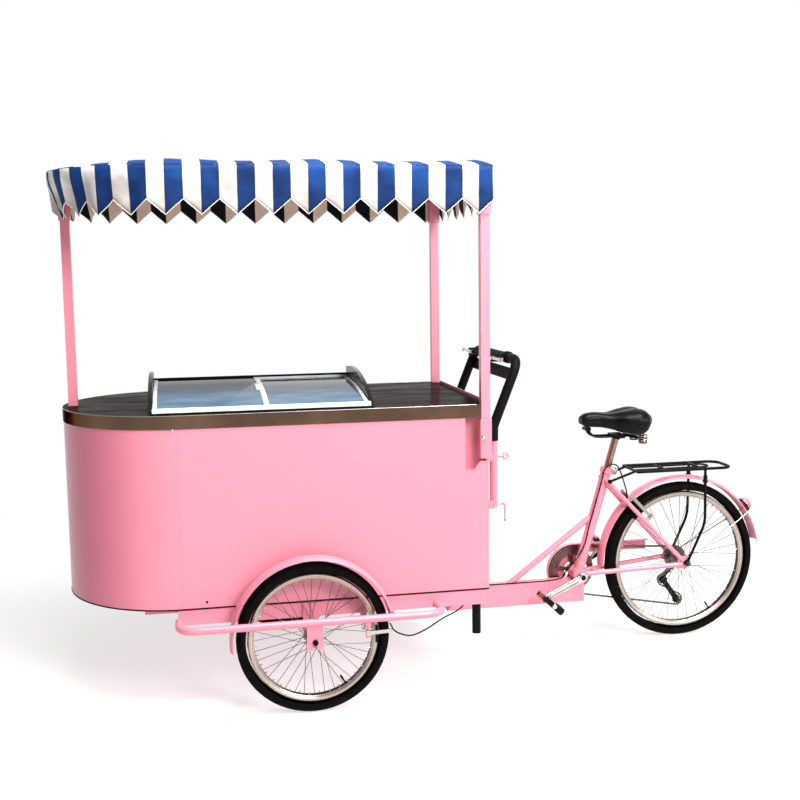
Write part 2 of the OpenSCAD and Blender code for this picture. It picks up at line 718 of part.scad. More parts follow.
module handle_posts() {
    x = box_rx + fit;
    color([0.95, 0.66, 0.74]) both() {
        rod([post_x, -post_y, 606], [post_x, -post_y, post_top], 26, 20);
        for (z = [615, 780]) difference() {
            union() {
                slab(x, post_x, -post_y - 12, 12 - post_y, z - 14, z + 14);
                slab(x, x + 4, -post_y - 26, 26 - post_y, z - 24, z + 24);
                rod([post_x + 8, -post_y, z], [post_x + 34, -post_y, z], 8);
            }
            translate([post_x, -post_y, z - 30]) cylinder(h = 60, d = 21);
        }
        rod([post_x + 34, -post_y - 20, 615], [post_x + 34, 20 - post_y, 615], 9);
        translate([post_x + 42, -post_y, 780]) rotate([90, 0, 0]) rotate_extrude() translate([9, 0]) circle(d = 6);
    }
}
lever_x = bar_x - 53;
lever_y = 150;
module handlebar() {
    x = post_x;
    y = post_y;
    a = atan(lean);
    color([0.07, 0.07, 0.07]) difference() {
        union() {
            tube([[x, -y, post_top - 22], [x, -y, 885], [bar_x, -y, handle_z], [bar_x, y, handle_z], [x, y, 885],
                [x, y, post_top - 22]], hoop_d, 55, [1, 0, -0.4]);
            translate([bar_x - 19, -y + 14, handle_z - 72]) rotate([0, a, 0]) cube([4, 2 * y - 28, 42]);
            both() {
                rod([bar_x, -lever_y - 12, handle_z], [bar_x, 12 - lever_y, handle_z], hoop_d + 10);
                for (z = [-14, 7]) slab(lever_x - 8, bar_x - 17, -lever_y - 8, 8 - lever_y, handle_z + z, handle_z + z + 7);
                translate([lever_x, -lever_y, handle_z - 13]) cylinder(h = 26, d = 6);
            }
        }
        both() translate([x, -y, post_top - 40]) cylinder(h = 40 + fit, d = 26 + 2 * fit);
    }
}
module lever(s) {
    b = 14;
    color([0.80, 0.80, 0.82]) translate([lever_x, s * lever_y, handle_z]) difference() {
        union() {
            translate([0, 0, -6]) cylinder(h = 12, d = b);
            translate([-4.5, s > 0 ? 0 : -lever_len, -5]) cube([9, lever_len, 10]);
            translate([0, s * lever_len, -6]) cylinder(h = 12, d = b);
        }
        translate([0, 0, -20]) cylinder(h = 40, d = 6 + 2 * run);
    }
}

// Rear end

module stays() {
    both() {
        rod(stay_end * [[1, 0, 0], [0, -1, 0], [0, 0, 1]], [crank_x + 106, -33, crank_z + 353], 16);
        rod([crank_x + 29, -24, crank_z + 1], [rear_x - 19, -69, rr - 5], 18);
        translate([rear_x, -old_r, rr]) rotate([90, 0, 0]) linear_extrude(drop_t)
            polygon([[-40, -18], [-6, -24], [18, -14], [18, 14], [0, 26], [-30, 22]]);
    }
    rod([crank_x + 108, -38, crank_z + 351], [crank_x + 108, 38, crank_z + 351], 16);
    rod([crank_x + 70, -30, crank_z + 4], [crank_x + 70, 30, crank_z + 4], 14);
    rear() rotate([0, -brake_a, 0]) both() {
        rod([228, -50, 0], [228, -50, -34], 8);
        rod([228, -50, -31.5], [228, -50, -35], 13);
        rod([228, -50, 0], [228, -50, -12.6], 14);
    }
}
module rear_frame() {
    b = beam_w / 2;
    color([0.95, 0.66, 0.74]) difference() {
        union() {
            difference() {
                translate([0, b, 0]) rotate([90, 0, 0]) linear_extrude(beam_w)
                    polygon([[pivot_x - 47, beam_z0], [crank_x + 19, beam_z0], [crank_x + 19, beam_z1],
                        [pivot_x - 29, beam_z1], [pivot_x - 29, beam_z0 + 22]]);
                slab(pivot_x + 20, crank_x + 30, 3 - b, b - 3, beam_z0 + 3, beam_z1 - 3);
            }
            rod([crank_x, -34, crank_z], [crank_x, 34, crank_z], 47);
            rod(seat_0, seat_1, seat_tube_d);
            rod(seat_1 - seat_u * 22, seat_1 - seat_u * 2, seat_tube_d + 9);
            translate(seat_1 - seat_u * 12) rotate([0, 15, 0]) slab(14, 38, -9, 9, -9, 9);
            rod([crank_x + 52, 0, crank_z + 212], [pivot_x + 198, 0, beam_z1 - 2], 22);
            translate([pivot_x, 0, beam_z0 - 6]) cylinder(h = floor_z - beam_z0 + 18, d = king_d);
            translate([pivot_x, 0, beam_z1 - 1]) cylinder(h = 256 - fit - beam_z1 + 1, d = 50);
            translate([pivot_x, 0, floor_z + fit]) cylinder(h = 12, d = 36);
            stays();
        }
        rod([crank_x, -40, crank_z], [crank_x, 40, crank_z], 17 + 2 * run);
        rod(seat_0 + seat_u * 60, seat_1 + seat_u * 10, post_d + 2 * fit);
        translate(seat_1 - seat_u * 12) rotate([0, 15, 0]) slab(14, 40, -1.5, 1.5, -20, 20);
        both() translate([rear_x, -old_r, rr]) rotate([90, 0, 0]) cylinder(h = 20, d = axle_d + 0.4, center = true);
    }
}
module rear_fender() {
    color([0.95, 0.66, 0.74]) {
        rear() fender_arc(fender_r, fender_w, tail_a, 181);
        both() rod([rear_x + 14, -old_r - drop_t - 3.5, rr + 6],
            [rear_x + (fender_r + 1) * cos(32), 2 - fender_w / 2, rr + (fender_r + 1) * sin(32)], 5);
    }
}
module tail_reflector() {
    h = fender_r + 8 + fit;
    color([0.75, 0.2, 0.3]) rear() rotate([0, 54, 0]) rotate_extrude()
        polygon([[0, h], [27, h], [27, h + 12], [25, h + 18], [20, h + 24], [12, h + 28.5], [0, h + 30]]);
}
module rear_rack() {
    z = rr + 358;
    x = rear_x;
    d = 11;
    color([0.07, 0.07, 0.07]) {
        pipe([[x - 200, -70, z], [x + 180, -70, z], [x + 180, 70, z], [x - 200, 70, z]], d, 40);
        for (k = [-200, -80, 60]) rod([x + k, -70, z], [x + k, 70, z], d - 1);
        pipe([[x - 200, -26, z], [x + 110, -26, z], [x + 110, 26, z], [x - 200, 26, z]], 7, 24);
        both() {
            rod([x - 200, -50, z], [crank_x + 112, -46, crank_z + 353], d - 1.5);
            rod([crank_x + 112, -51, crank_z + 353], [crank_x + 112, -42.2, crank_z + 353], 15);
            tube([[x + 70, -70, z], [x + 70, -75.5, rr + 150], [x + 4, -75.5, rr + 8]], d - 0.6, 140, [0, 1, 0.1]);
            rod([x, -old_r - drop_t - fit, rr], [x, -81, rr], 22, axle_d + 0.4);
        }
    }
}
module chain_guard() {
    r = ring_r + 10;
    color([0.93, 0.62, 0.70]) difference() {
        union() {
            translate([crank_x, 0, crank_z]) rotate([-90, 0, 0]) {
                translate([0, 0, chain_y - 8]) linear_extrude(18) ring2d(2 * r + 4, 2 * r);
                translate([0, 0, chain_y + 8]) linear_extrude(2) ring2d(2 * r + 1, 2 * r - 34);
            }
            slab(crank_x - 10, crank_x + 300, chain_y + 8, chain_y + 10, crank_z + 62, crank_z + r);
            slab(crank_x + 12, crank_x + 300, chain_y - 8, chain_y + 10, crank_z + r - 1, crank_z + r + 1);
            slab(crank_x + 82, crank_x + 104, fender_w / 2 + fit, chain_y - 6, crank_z + r - 1, crank_z + r + 3);
        }
        slab(crank_x - 6, crank_x + 140, 0, 90, crank_z - 150, crank_z + 62);
        slab(crank_x + 30, crank_x + 140, chain_y - 9, chain_y + 7.9, crank_z + 61, crank_z + r - 1.5);
        slab(crank_x - 150, crank_x + 10, 0, 90, crank_z - 150, crank_z - 60);
        rod(seat_0, seat_1, seat_tube_d + 2 * fit);
    }
}
module rear_cable() {
    o = [-14, -18, 4];
    b = beam_z1 + 3.4;
    color([0.08, 0.08, 0.08]) cable([[pivot_x + 40, -10, b], [pivot_x + 150, -16, b], [crank_x - 90, -18, b + 3],
        [crank_x - 50, -18, crank_z + 12], seat_0 + seat_u * 100 + o, seat_0 + seat_u * 200 + o,
        seat_0 + seat_u * 300 + o, seat_0 + seat_u * 375 + o, seat_0 + seat_u * 412 + o * 1.25,
        seat_1 + [4, -32, 16], seat_1 + [30, -36, 4], [crank_x + 176, -37, crank_z + 330],
        [crank_x + 186, -36, crank_z + 285], [crank_x + 190, 0, crank_z + 289],
        [crank_x + 190, 34, crank_z + 289]], 5, [0.1, 1, 0.2]);
}

// Drive

function teeth(n, r, h) = [for (i = [0:n - 1], k = [0:3])
    let(a = (i + [0.06, 0.38, 0.62, 0.94][k]) * 360 / n, q = (k == 1 || k == 2) ? r : r - h) [q * cos(a), q * sin(a)]];
module cog(n, r, y, t, hole) {
    rotate([-90, 0, 0]) translate([0, 0, y - t / 2]) linear_extrude(t) difference() {
        polygon(teeth(n, r, 4));
        circle(d = hole);
    }
}
module freewheel() {
    color([0.3, 0.3, 0.31]) rear() {
        for (i = [-2:2]) {
            n = cog_teeth - 3 * i;
            cog(n, pitch / (2 * sin(180 / n)) - tip_gap, chain_y + 5.3 * i, 1.8, 30);
        }
        rotate([-90, 0, 0]) translate([0, 0, 30 + fit]) linear_extrude(28) ring2d(40, 26);
        rotate([-90, 0, 0]) translate([0, 0, 30 + fit]) linear_extrude(4) ring2d(30, axle_d + 2 * run);
    }
}
module crank_bar(y) {
    translate([0, y, 0]) rotate([90, 0, 0]) {
        translate([0, 0, -14]) cylinder(h = 14, d = 34);
        translate([-crank_len, -11, -13]) cube([crank_len, 22, 12]);
        translate([-crank_len, 0, -14]) cylinder(h = 14, d = 28);
    }
}
module crankset() {
    color([0.72, 0.72, 0.74]) translate([crank_x, 0, crank_z]) rotate([0, -crank_a, 0]) {
        rod([0, -66, 0], [0, 66, 0], 17);
        crank_bar(-76);
        rotate([0, 180, 0]) crank_bar(62);
        cog(ring_teeth, ring_r - tip_gap, chain_y, 2.2, 116);
        for (a = [0:72:288]) rotate([0, a, 0]) slab(6, 62, chain_y - 1.1, chain_y + 3, -8, 8);
        rod([0, chain_y - 3, 0], [0, 64, 0], 40);
        translate([-crank_len, -70, 0]) rotate([90, 0, 0]) cylinder(h = 104, d = 9);
        translate([crank_len, 174, 0]) rotate([90, 0, 0]) cylinder(h = 104, d = 9);
    }
}
module pedal(s) {
    y0 = 80;
    color([0.45, 0.45, 0.46]) translate([crank_x + s * crank_len * cos(crank_a), 0, crank_z + s * crank_len * sin(crank_a)])
        rotate([0, 40, 0]) difference() {
            union() {
                slab(-44, 44, s > 0 ? y0 : -y0 - 92, s > 0 ? y0 + 92 : -y0, -9, 9);
                slab(-44, -36, s > 0 ? y0 + 10 : -y0 - 82, s > 0 ? y0 + 82 : -y0 - 10, -13, 13);
                slab(36, 44, s > 0 ? y0 + 10 : -y0 - 82, s > 0 ? y0 + 82 : -y0 - 10, -13, 13);
                rod([0, s * y0, 0], [0, s * (y0 + 96), 0], 22);
            }
            rod([0, s * 70, 0], [0, s * 250, 0], 9 + 2 * run);
            for (x = [-36, 13]) slab(x, x + 23, s > 0 ? y0 + 10 : -y0 - 82, s > 0 ? y0 + 82 : -y0 - 10, -20, 20);
        }
}
guide = [rear_x - 40, rr - 95];
tens = [rear_x + 15, rr - 175];
module derailleur() {
    y = chain_y;
    color([0.1, 0.1, 0.1]) {
        for (c = [guide, tens]) translate([c[0], 0, c[1]]) {
            cog(11, jockey_r - tip_gap, y, 2.4, 9);
            rod([0, y - 8, 0], [0, y + 8, 0], 8.4);
        }
        for (s = [-1, 1]) translate([guide[0], y + 6.5 * s, guide[1]])
            rotate([0, atan2(guide[1] - tens[1], tens[0] - guide[0]), 0]) {
                slab(-14, norm(tens - guide) + 12, -1.2, 1.2, -9, 9);
            }
        rod([rear_x + 4, y + 24, rr - 52], [guide[0], y + 20, guide[1]], 18);
        rod([guide[0], y + 7, guide[1]], [guide[0], y + 30, guide[1]], 26);
        rod([rear_x + 4, old_r, rr - 52], [rear_x + 4, y + 33, rr - 52], 20);
        slab(rear_x - 6, rear_x + 14, old_r, old_r + drop_t, rr - 60, rr - 24 - fit);
    }
}
stops = [[crank_x, crank_z, ring_r, -1], [rear_x, rr, cog_r, -1], [guide[0], guide[1], jockey_r, 1],
    [tens[0], tens[1], jockey_r, -1]];
// Direction of the chain run that leaves wheel i
function run_a(i) = let(
    a = stops[i], b = stops[(i + 1) % 4], dx = b[0] - a[0], dz = b[1] - a[1])
    atan2(dz, dx) - asin((b[3] * b[2] - a[3] * a[2]) / norm([dx, dz]));
function wrap(i) = let(
    c = stops[i], s = c[3], a0 = run_a((i + 3) % 4) - 90 * s, a1 = run_a(i) - 90 * s,
    g = s * (a1 - a0), w = g - 360 * floor(g / 360), n = ceil(w / 6))
    [for (k = [0:n]) let(a = a0 + s * w * k / n) [c[0] + c[2] * cos(a), c[1] + c[2] * sin(a)]];
route = [for (i = [0:3]) each wrap(i), wrap(0)[0]];
steps = [for (i = 0, s = 0; i < len(route);
    s = s + (i + 1 < len(route) ? norm(route[i + 1] - route[i]) : 0), i = i + 1) s];
route_x = [for (i = [0:len(route) - 1]) [steps[i], route[i][0]]];
route_z = [for (i = [0:len(route) - 1]) [steps[i], route[i][1]]];
route_l = steps[len(steps) - 1];
links = 2 * round(route_l / pitch / 2);
function at(s) = let(q = s - route_l * floor(s / route_l)) [lookup(q, route_x), chain_y, lookup(q, route_z)];
module chain() {
    n = links * 4;
    color([0.25, 0.24, 0.23]) skin([for (i = [0:n - 1]) let(
        s = route_l * i / n, t = unit(at(s + 2) - at(s - 2)), b = [-t[2], 0, t[0]],
        h = [link_h, link_h - 0.5, link_h - 1.2, link_h - 0.5][i % 4], w = i % 8 < 4 ? 3.2 : 2.5)
        [for (c = [[w, h], [-w, h], [-w, -h], [w, -h]]) at(s) + [0, c[0], 0] + b * c[1]]], true);
}

// Seat

module seat_post() {
    top = seat_1 + seat_u * 112;
    color([0.82, 0.82, 0.83]) rod(seat_1 - seat_u * 130, top, post_d);
}
module saddle_rails() {
    c = seat_1 + seat_u * 112;
    x = c[0];
    z = c[2];
    nose = seat_floor(x - 116, 8) - 2;
    back = min(seat_floor(x + 76, 36), seat_floor(x + 106, 30)) - 1;
    color([0.08, 0.08, 0.08]) {
        rod(c + seat_u * fit, c + seat_u * 16, 34);
        slab(x - 18, x + 26, -32, 32, z + 5, z + 20);
        both() cable([[x - 114, -14, nose - 6], [x - 98, -17, z + 20], [x - 70, -20, z + 12], [x + 40, -22, z + 12],
            [x + 68, -28, z + 6], [x + 92, -42, z + 4]], 8, [0, 1, 0.1]);
        both() rod([x + 91, -44, z - 14], [x + 91, -44, back], 30);
        slab(x + 77, x + 105, -50, 50, z - 2, z + 8);
        slab(x - 124, x - 104, -20, 20, nose - 11, nose);
    }
}
// Saddle section at fraction u of its length: half width, top and bottom height
function seat_w(u) = lookup(u, [[0, 20], [0.05, 28], [0.25, 36], [0.45, 56], [0.62, 86], [0.8, 102], [0.93, 92], [1, 62]]);
function seat_t(u) = lookup(u, [[0, -22], [0.05, -8], [0.2, -4], [0.42, -8], [0.6, 2], [0.8, 10], [0.93, 4], [1, -14]]);
function seat_b(u) = lookup(u, [[0, -52], [0.06, -64], [0.3, -68], [0.5, -80], [0.7, -98], [0.85, -100], [0.95, -86], [1, -58]]);
saddle_z = seat_1[2] + 216;
saddle_l = 256;
saddle_x = seat_1[0] - 108;
function seat_low(u, y) = min(seat_b(u) + 6 + 0.1 * abs(y), seat_t(u) - 12);
function seat_floor(x, y) = saddle_z + seat_low((x - saddle_x) / saddle_l, y);
function seat_ring(u) = let(w = seat_w(u), t = seat_t(u), b = seat_b(u), m = (t + b) / 2, h = (t - b) / 2)
    [for (a = [0:15:345]) let(c = cos(a), s = sin(a),
        y = w * sign(c) * pow(abs(c), 0.8) * (s < 0 ? 1 - 0.12 * abs(s) : 1),
        dip = s > 0 && u > 0.3 ? 9 * exp(-pow(y / 16, 2)) * min(1, (u - 0.3) * 4) : 0,
        z = m + h * sign(s) * pow(abs(s), 0.75) - dip,
        x = saddle_x + saddle_l * u + (u > 0.9 ? -14 * exp(-pow(y / 22, 2)) * (u - 0.9) * 10 : 0))
        [x, y, saddle_z + max(z, seat_low(u, y))]];
module saddle() {
    u = [0, 0.02, 0.05, 0.1, 0.18, 0.27, 0.36, 0.45, 0.54, 0.62, 0.7, 0.78, 0.85, 0.9, 0.94, 0.97, 0.99, 1];
    color([0.06, 0.06, 0.06]) skin([for (k = u) seat_ring(k)]);
}

chassis();
nose_sheet();
side_panels();
rear_panel();
counter_top();
freezer_liner();
freezer_casing();
cooling_unit();
battery();
lid_frame();
lid_end_caps();
canopy_poles();
canopy_frame();
canopy_roof();
canopy_valance();
guard_rails();
front_fenders();
front_axles();
handle_posts();
handlebar();
front_cables();
glass_left();
glass_right();
trim_left();
trim_right();
lever(-1);  // lever_left
lever(1);  // lever_right
drop_leg(-1);  // leg_left
drop_leg(1);  // leg_right
front_tyre(-1);  // front_left_tyre
front_rim(-1);  // front_left_rim
front_hub(-1);  // front_left_hub
front_tyre(1);  // front_right_tyre
front_rim(1);  // front_right_rim
front_hub(1);  // front_right_hub
front_arm(-1, 1);  // arm_left_outer
front_arm(-1, -1);  // arm_left_inner
front_arm(1, 1);  // arm_right_outer
front_arm(1, -1);  // arm_right_inner
rear_frame();
rear_fender();
rear_rack();
tail_reflector();
chain_guard();
rear_axle();
rear_cable();
derailleur();
chain();
rear_arm(-1);  // arm_rear_left
rear_arm(1);  // arm_rear_right
rear_tyre();
rear_rim();
rear_hub();
freewheel();
crankset();
pedal(-1);  // pedal_left
pedal(1);  // pedal_right
seat_post();
saddle();
saddle_rails();

module rear_arm(side) {
    translate([0, 0, 0]) rear() rotate([0, -brake_a, 0]) translate([0, 0, -22])
        v_arm(side, 228, 50, rr - rim_drop - 5, 346, 42, -22);
}
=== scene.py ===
"""Looks of the ice cream tricycle: studio, finishes, cloth, tyres, chain, saddle and small fittings."""

import math

import bmesh
import bpy
from mathutils import Matrix, Vector


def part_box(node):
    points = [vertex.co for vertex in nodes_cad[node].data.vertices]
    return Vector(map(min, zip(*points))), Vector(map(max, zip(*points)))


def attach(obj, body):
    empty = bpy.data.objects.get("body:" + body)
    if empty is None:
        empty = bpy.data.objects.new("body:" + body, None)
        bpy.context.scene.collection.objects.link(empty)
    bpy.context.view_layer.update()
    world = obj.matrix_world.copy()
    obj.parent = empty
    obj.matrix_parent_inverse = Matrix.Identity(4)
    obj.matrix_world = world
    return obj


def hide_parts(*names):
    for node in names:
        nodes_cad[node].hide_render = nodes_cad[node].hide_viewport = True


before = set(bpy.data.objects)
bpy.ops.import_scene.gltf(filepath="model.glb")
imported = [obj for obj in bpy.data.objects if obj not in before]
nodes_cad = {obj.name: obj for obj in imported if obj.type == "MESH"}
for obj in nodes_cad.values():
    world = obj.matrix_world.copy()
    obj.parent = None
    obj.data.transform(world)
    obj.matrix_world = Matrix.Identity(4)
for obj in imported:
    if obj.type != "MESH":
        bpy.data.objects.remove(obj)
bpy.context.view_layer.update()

# Places taken from the frame, in metres
MM = 0.001
FRONT_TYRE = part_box("front_left_tyre")
REAR_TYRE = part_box("rear_tyre")
FRONT_HUB = (FRONT_TYRE[0] + FRONT_TYRE[1]) / 2
REAR_HUB = (REAR_TYRE[0] + REAR_TYRE[1]) / 2
TRACK = -FRONT_HUB.y
REAR_X = REAR_HUB.x
FRONT_X = FRONT_HUB.x
BOX_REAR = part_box("side_panels")[1].x
BOX_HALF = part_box("side_panels")[1].y
NOSE_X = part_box("side_panels")[0].x
COUNTER_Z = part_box("counter_top")[1].z
CRANK = Vector((REAR_X - 0.412, 0, 0.270))
CANOPY_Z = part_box("canopy_roof")[1].z - 0.044
RIM_EDGE = -0.038


def front_hub(side):
    """Middle of a front wheel: -1 for the left, 1 for the right."""
    return Vector((FRONT_X, side * TRACK, FRONT_HUB.z))


def srgb(red, green, blue):
    """Linear colour of a screen colour given as 0 to 255."""
    def linear(c):
        c = c / 255
        return c / 12.92 if c <= 0.04045 else ((c + 0.055) / 1.055) ** 2.4
    return (linear(red), linear(green), linear(blue), 1.0)


# Nodes

class NodeTree:
    """The few kinds of node that the room and the finishes are made from."""

    def __init__(self, tree):
        self.tree = tree
        self.places = self.node("ShaderNodeTexCoord")

    def node(self, kind, **settings):
        made = self.tree.nodes.new(kind)
        for key, value in settings.items():
            setattr(made, key, value)
        return made

    def wire(self, source, target):
        """Links a node's output to a socket, or sets the socket to a plain value."""
        if isinstance(source, bpy.types.NodeSocket):
            self.tree.links.new(source, target)
        else:
            target.default_value = source

    def lay(self, made, scale, stretch=(1, 1, 1)):
        """Lays a texture over the object's own coordinates."""
        mapping = self.node("ShaderNodeMapping")
        self.wire(stretch, mapping.inputs["Scale"])
        self.wire(self.places.outputs["Object"], mapping.inputs["Vector"])
        self.wire(mapping.outputs["Vector"], made.inputs["Vector"])
        self.wire(scale, made.inputs["Scale"])

    def noise(self, scale, detail=4.0, stretch=(1, 1, 1)):
        made = self.node("ShaderNodeTexNoise")
        self.lay(made, scale, stretch)
        self.wire(detail, made.inputs["Detail"])
        return made.outputs[0]

    def cells(self, scale):
        made = self.node("ShaderNodeTexVoronoi", feature="F1")
        self.lay(made, scale)
        return made.outputs["Distance"]

    def bands(self, scale, direction):
        made = self.node("ShaderNodeTexWave", bands_direction=direction)
        self.lay(made, scale)
        return made.outputs["Fac"]

    def ranged(self, value, low, high, start=0.3, stop=0.7):
        """Carries start to low and stop to high."""
        made = self.node("ShaderNodeMapRange")
        for socket, number in (("From Min", start), ("From Max", stop), ("To Min", low), ("To Max", high)):
            self.wire(number, made.inputs[socket])
        self.wire(value, made.inputs["Value"])
        return made.outputs["Result"]

    def part(self, axis, source="Object"):
        """One coordinate of the place, or of the surface direction where source is Normal."""
        parts = self.node("ShaderNodeSeparateXYZ")
        self.wire(self.places.outputs[source], parts.inputs["Vector"])
        return parts.outputs[axis]

    def reckon(self, operation, first, second=0.0):
        made = self.node("ShaderNodeMath", operation=operation)
        self.wire(first, made.inputs[0])
        self.wire(second, made.inputs[1])
        return made.outputs[0]

    def product(self, first, second):
        return self.reckon("MULTIPLY", first, second)

    def distance(self, centre, share=(1, 1, 1)):
        """How far a place is from a centre, with each axis given its share."""
        value = self.places.outputs["Object"]
        for operation, second in (("SUBTRACT", centre), ("MULTIPLY", share), ("LENGTH", None)):
            made = self.node("ShaderNodeVectorMath", operation=operation)
            self.wire(value, made.inputs[0])
            if second is not None:
                self.wire(second, made.inputs[1])
            value = made.outputs[0]
        return made.outputs["Value"]

    def facing(self, axis, start, stop):
        """1 where the surface faces along an axis, either way."""
        return self.ranged(self.reckon("ABSOLUTE", self.part(axis, "Normal")), 0, 1, start, stop)

    def mixed(self, factor, first, second):
        made = self.node("ShaderNodeMix", data_type="RGBA")
        for socket, value in zip((0, 6, 7), (factor, first, second)):
            self.wire(value, made.inputs[socket])
        return made.outputs[2]

    def mottled(self, noise, dark, light):
        return self.mixed(self.ranged(noise, 0, 1), dark, light)


class Finish(NodeTree):
    """A node material: a Principled shader with the layers of one real finish."""

    def __init__(self, name, colour, rough, metal=0.0, **sockets):
        self.material = bpy.data.materials.new(name)
        self.material.use_nodes = True
        super().__init__(self.material.node_tree)
        self.shader = self.tree.nodes["Principled BSDF"]
        for socket, value in {"Base_Color": colour, "Roughness": rough, "Metallic": metal, **sockets}.items():
            self.wire(value, self.shader.inputs[socket.replace("_", " ")])

    def paint(self, colour):
        self.wire(colour, self.shader.inputs["Base Color"])

    def roughen(self, noise, low, high):
        self.wire(self.ranged(noise, low, high), self.shader.inputs["Roughness"])

    def emboss(self, value, strength, distance):
        """Adds a layer of bump on top of the last one."""
        bump = self.node("ShaderNodeBump")
        self.wire(strength, bump.inputs["Strength"])
        self.wire(distance, bump.inputs["Distance"])
        last = self.shader.inputs["Normal"].links
        if last:
            self.wire(last[0].from_socket, bump.inputs["Normal"])
        self.wire(value, bump.inputs["Height"])
        self.wire(bump.outputs["Normal"], self.shader.inputs["Normal"])


# Studio

CAMERA_PLACE = (-0.8891, -3.9191, 1.4358)
CAMERA_YAW = math.radians(11.21)
CAMERA_DIP = math.radians(6.90)
CAMERA_ROLL = math.radians(-0.75)
CAMERA_LENS = 50.41


def add_camera():
    camera = bpy.data.cameras.new("photo_camera")
    camera.sensor_width = 36
    camera.lens = CAMERA_LENS
    camera.clip_end = 200
    holder = bpy.data.objects.new("photo_camera", camera)
    holder.matrix_world = (
        Matrix.Translation(CAMERA_PLACE)
        @ Matrix.Rotation(-CAMERA_YAW, 4, "Z")
        @ Matrix.Rotation(math.pi / 2 - CAMERA_DIP, 4, "X")
        @ Matrix.Rotation(CAMERA_ROLL, 4, "Z")
    )
    bpy.context.scene.collection.objects.link(holder)
    bpy.context.scene.camera = holder


def add_light(name, place, aim, size, watts):
    lamp = bpy.data.lights.new(name, "AREA")
    lamp.shape = "RECTANGLE"
    lamp.size, lamp.size_y = size
    lamp.energy = watts
    holder = bpy.data.objects.new(name, lamp)
    holder.location = place
    holder.rotation_euler = (Vector(aim) - Vector(place)).to_track_quat("-Z", "Y").to_euler()
    bpy.context.scene.collection.objects.link(holder)


def add_studio():
    """A pale room, white behind the cart, greyer overhead and towards its nose, with soft lamps."""
    world = bpy.data.worlds.new("pale_room")
    world.use_nodes = True
    room = NodeTree(world.node_tree)
    overhead = room.ranged(room.part("Z", "Generated"), 1.0, 0.45, 0.28, 0.6)
    sides = room.product(room.ranged(room.part("X", "Generated"), 0.08, 0.85, -0.9, 0.5), overhead)
    wall = room.product(room.ranged(room.part("Y", "Generated"), 0.0, 1.0, 0.45, 0.75), overhead)
    backdrop = world.node_tree.nodes["Background"]
    room.wire(room.reckon("MAXIMUM", sides, wall), backdrop.inputs["Strength"])
    room.wire((1, 1, 1, 1), backdrop.inputs["Color"])
    bpy.context.scene.world = world
    bpy.context.scene.view_settings.view_transform = "Standard"
    middle = (-0.2, 0, 0.8)
    add_light("key_light", (1.8, -5.2, 3.8), middle, (2.0, 2.0), 360)
    add_light("side_light", (4.4, -2.6, 2.6), middle, (2.0, 2.5), 75)
    add_light("top_light", (0.6, -1.5, 4.8), middle, (4.0, 1.2), 410)
    add_light("back_light", (1.5, 4.6, 3.0), middle, (4.0, 2.5), 25)


# Finishes

def shade(colour, factor):
    return tuple(min(1, c * factor) for c in colour[:3]) + (1.0,)


def gloss_paint(name, colour, dust, painted_shade_ends=None):
    """Sprayed enamel: faint mottling, orange peel, road dust low down.

    Faces turned along the cart take the darker colour given for the ends, where it is given: painted shade on the
    nose's sides.
    """
    f = Finish(name, colour, 0.34, Coat_Weight=0.2, Coat_Roughness=0.15)
    mottled = f.mottled(f.noise(2.2), shade(colour, 0.98), shade(colour, 1.015))
    # painted shade: faces turned along the cart, the nose's sides, darken to the given colour
    if painted_shade_ends:
        mottled = f.mixed(f.facing("X", 0.3, 0.8), mottled, painted_shade_ends)
    low = f.ranged(f.part("Z"), 0.5, 0.0, 0.1, 0.4)
    dusty = f.product(low, f.ranged(f.noise(26.0, 6), 0, 1, 0.42, 0.72))
    f.paint(f.mixed(f.product(dusty, dust), mottled, srgb(150, 118, 112)))
    f.roughen(f.noise(5.0), 0.30, 0.36)
    f.emboss(f.noise(190.0, 2), 0.05, 0.0005)
    return f.material


def satin_black(name, shine):
    f = Finish(name, srgb(10, 9, 9), shine, Specular_IOR_Level=0.08)
    f.paint(f.mottled(f.noise(30.0), srgb(7, 5, 5), srgb(13, 11, 11)))
    f.roughen(f.noise(60.0), shine - 0.08, shine + 0.12)
    f.emboss(f.noise(420.0, 2), 0.12, 0.0004)
    return f.material


def brushed_counter():
    """Stainless top with streaks along the box, painted dark grey for the dark reflection it shows, and a brown
    painted reflection on its folded edge.
    """
    f = Finish("brushed_counter", srgb(84, 80, 76), 0.22, 1.0, Specular_Tint=(0.12, 0.11, 0.105, 1))
    grain = f.noise(60.0, 6, (0.5, 12, 12))
    smear = f.noise(5.0, 5, (1.0, 2.6, 1))
    # painted reflection: a dark grey top and a brown folded edge
    top = f.mottled(smear, srgb(70, 67, 62), srgb(118, 112, 106))
    edge = f.mottled(smear, srgb(102, 79, 64), srgb(132, 104, 83))
    painted_reflections = f.mixed(f.facing("Z", 0.5, 0.8), edge, top)
    f.paint(f.mixed(f.ranged(grain, 0, 0.35), painted_reflections, srgb(40, 37, 34)))
    f.roughen(smear, 0.16, 0.32)
    f.emboss(grain, 0.06, 0.0003)
    return f.material


def metal(name, colour, rough, grain_scale, spread=0.12):
    f = Finish(name, colour, rough, 1.0)
    grain = f.noise(grain_scale, 5)
    f.paint(f.mottled(grain, shade(colour, 0.9), shade(colour, 1.05)))
    f.roughen(f.noise(grain_scale * 0.4), max(0.04, rough - spread / 3), rough + spread / 3)
    f.emboss(grain, 0.03, 0.0002)
    return f.material


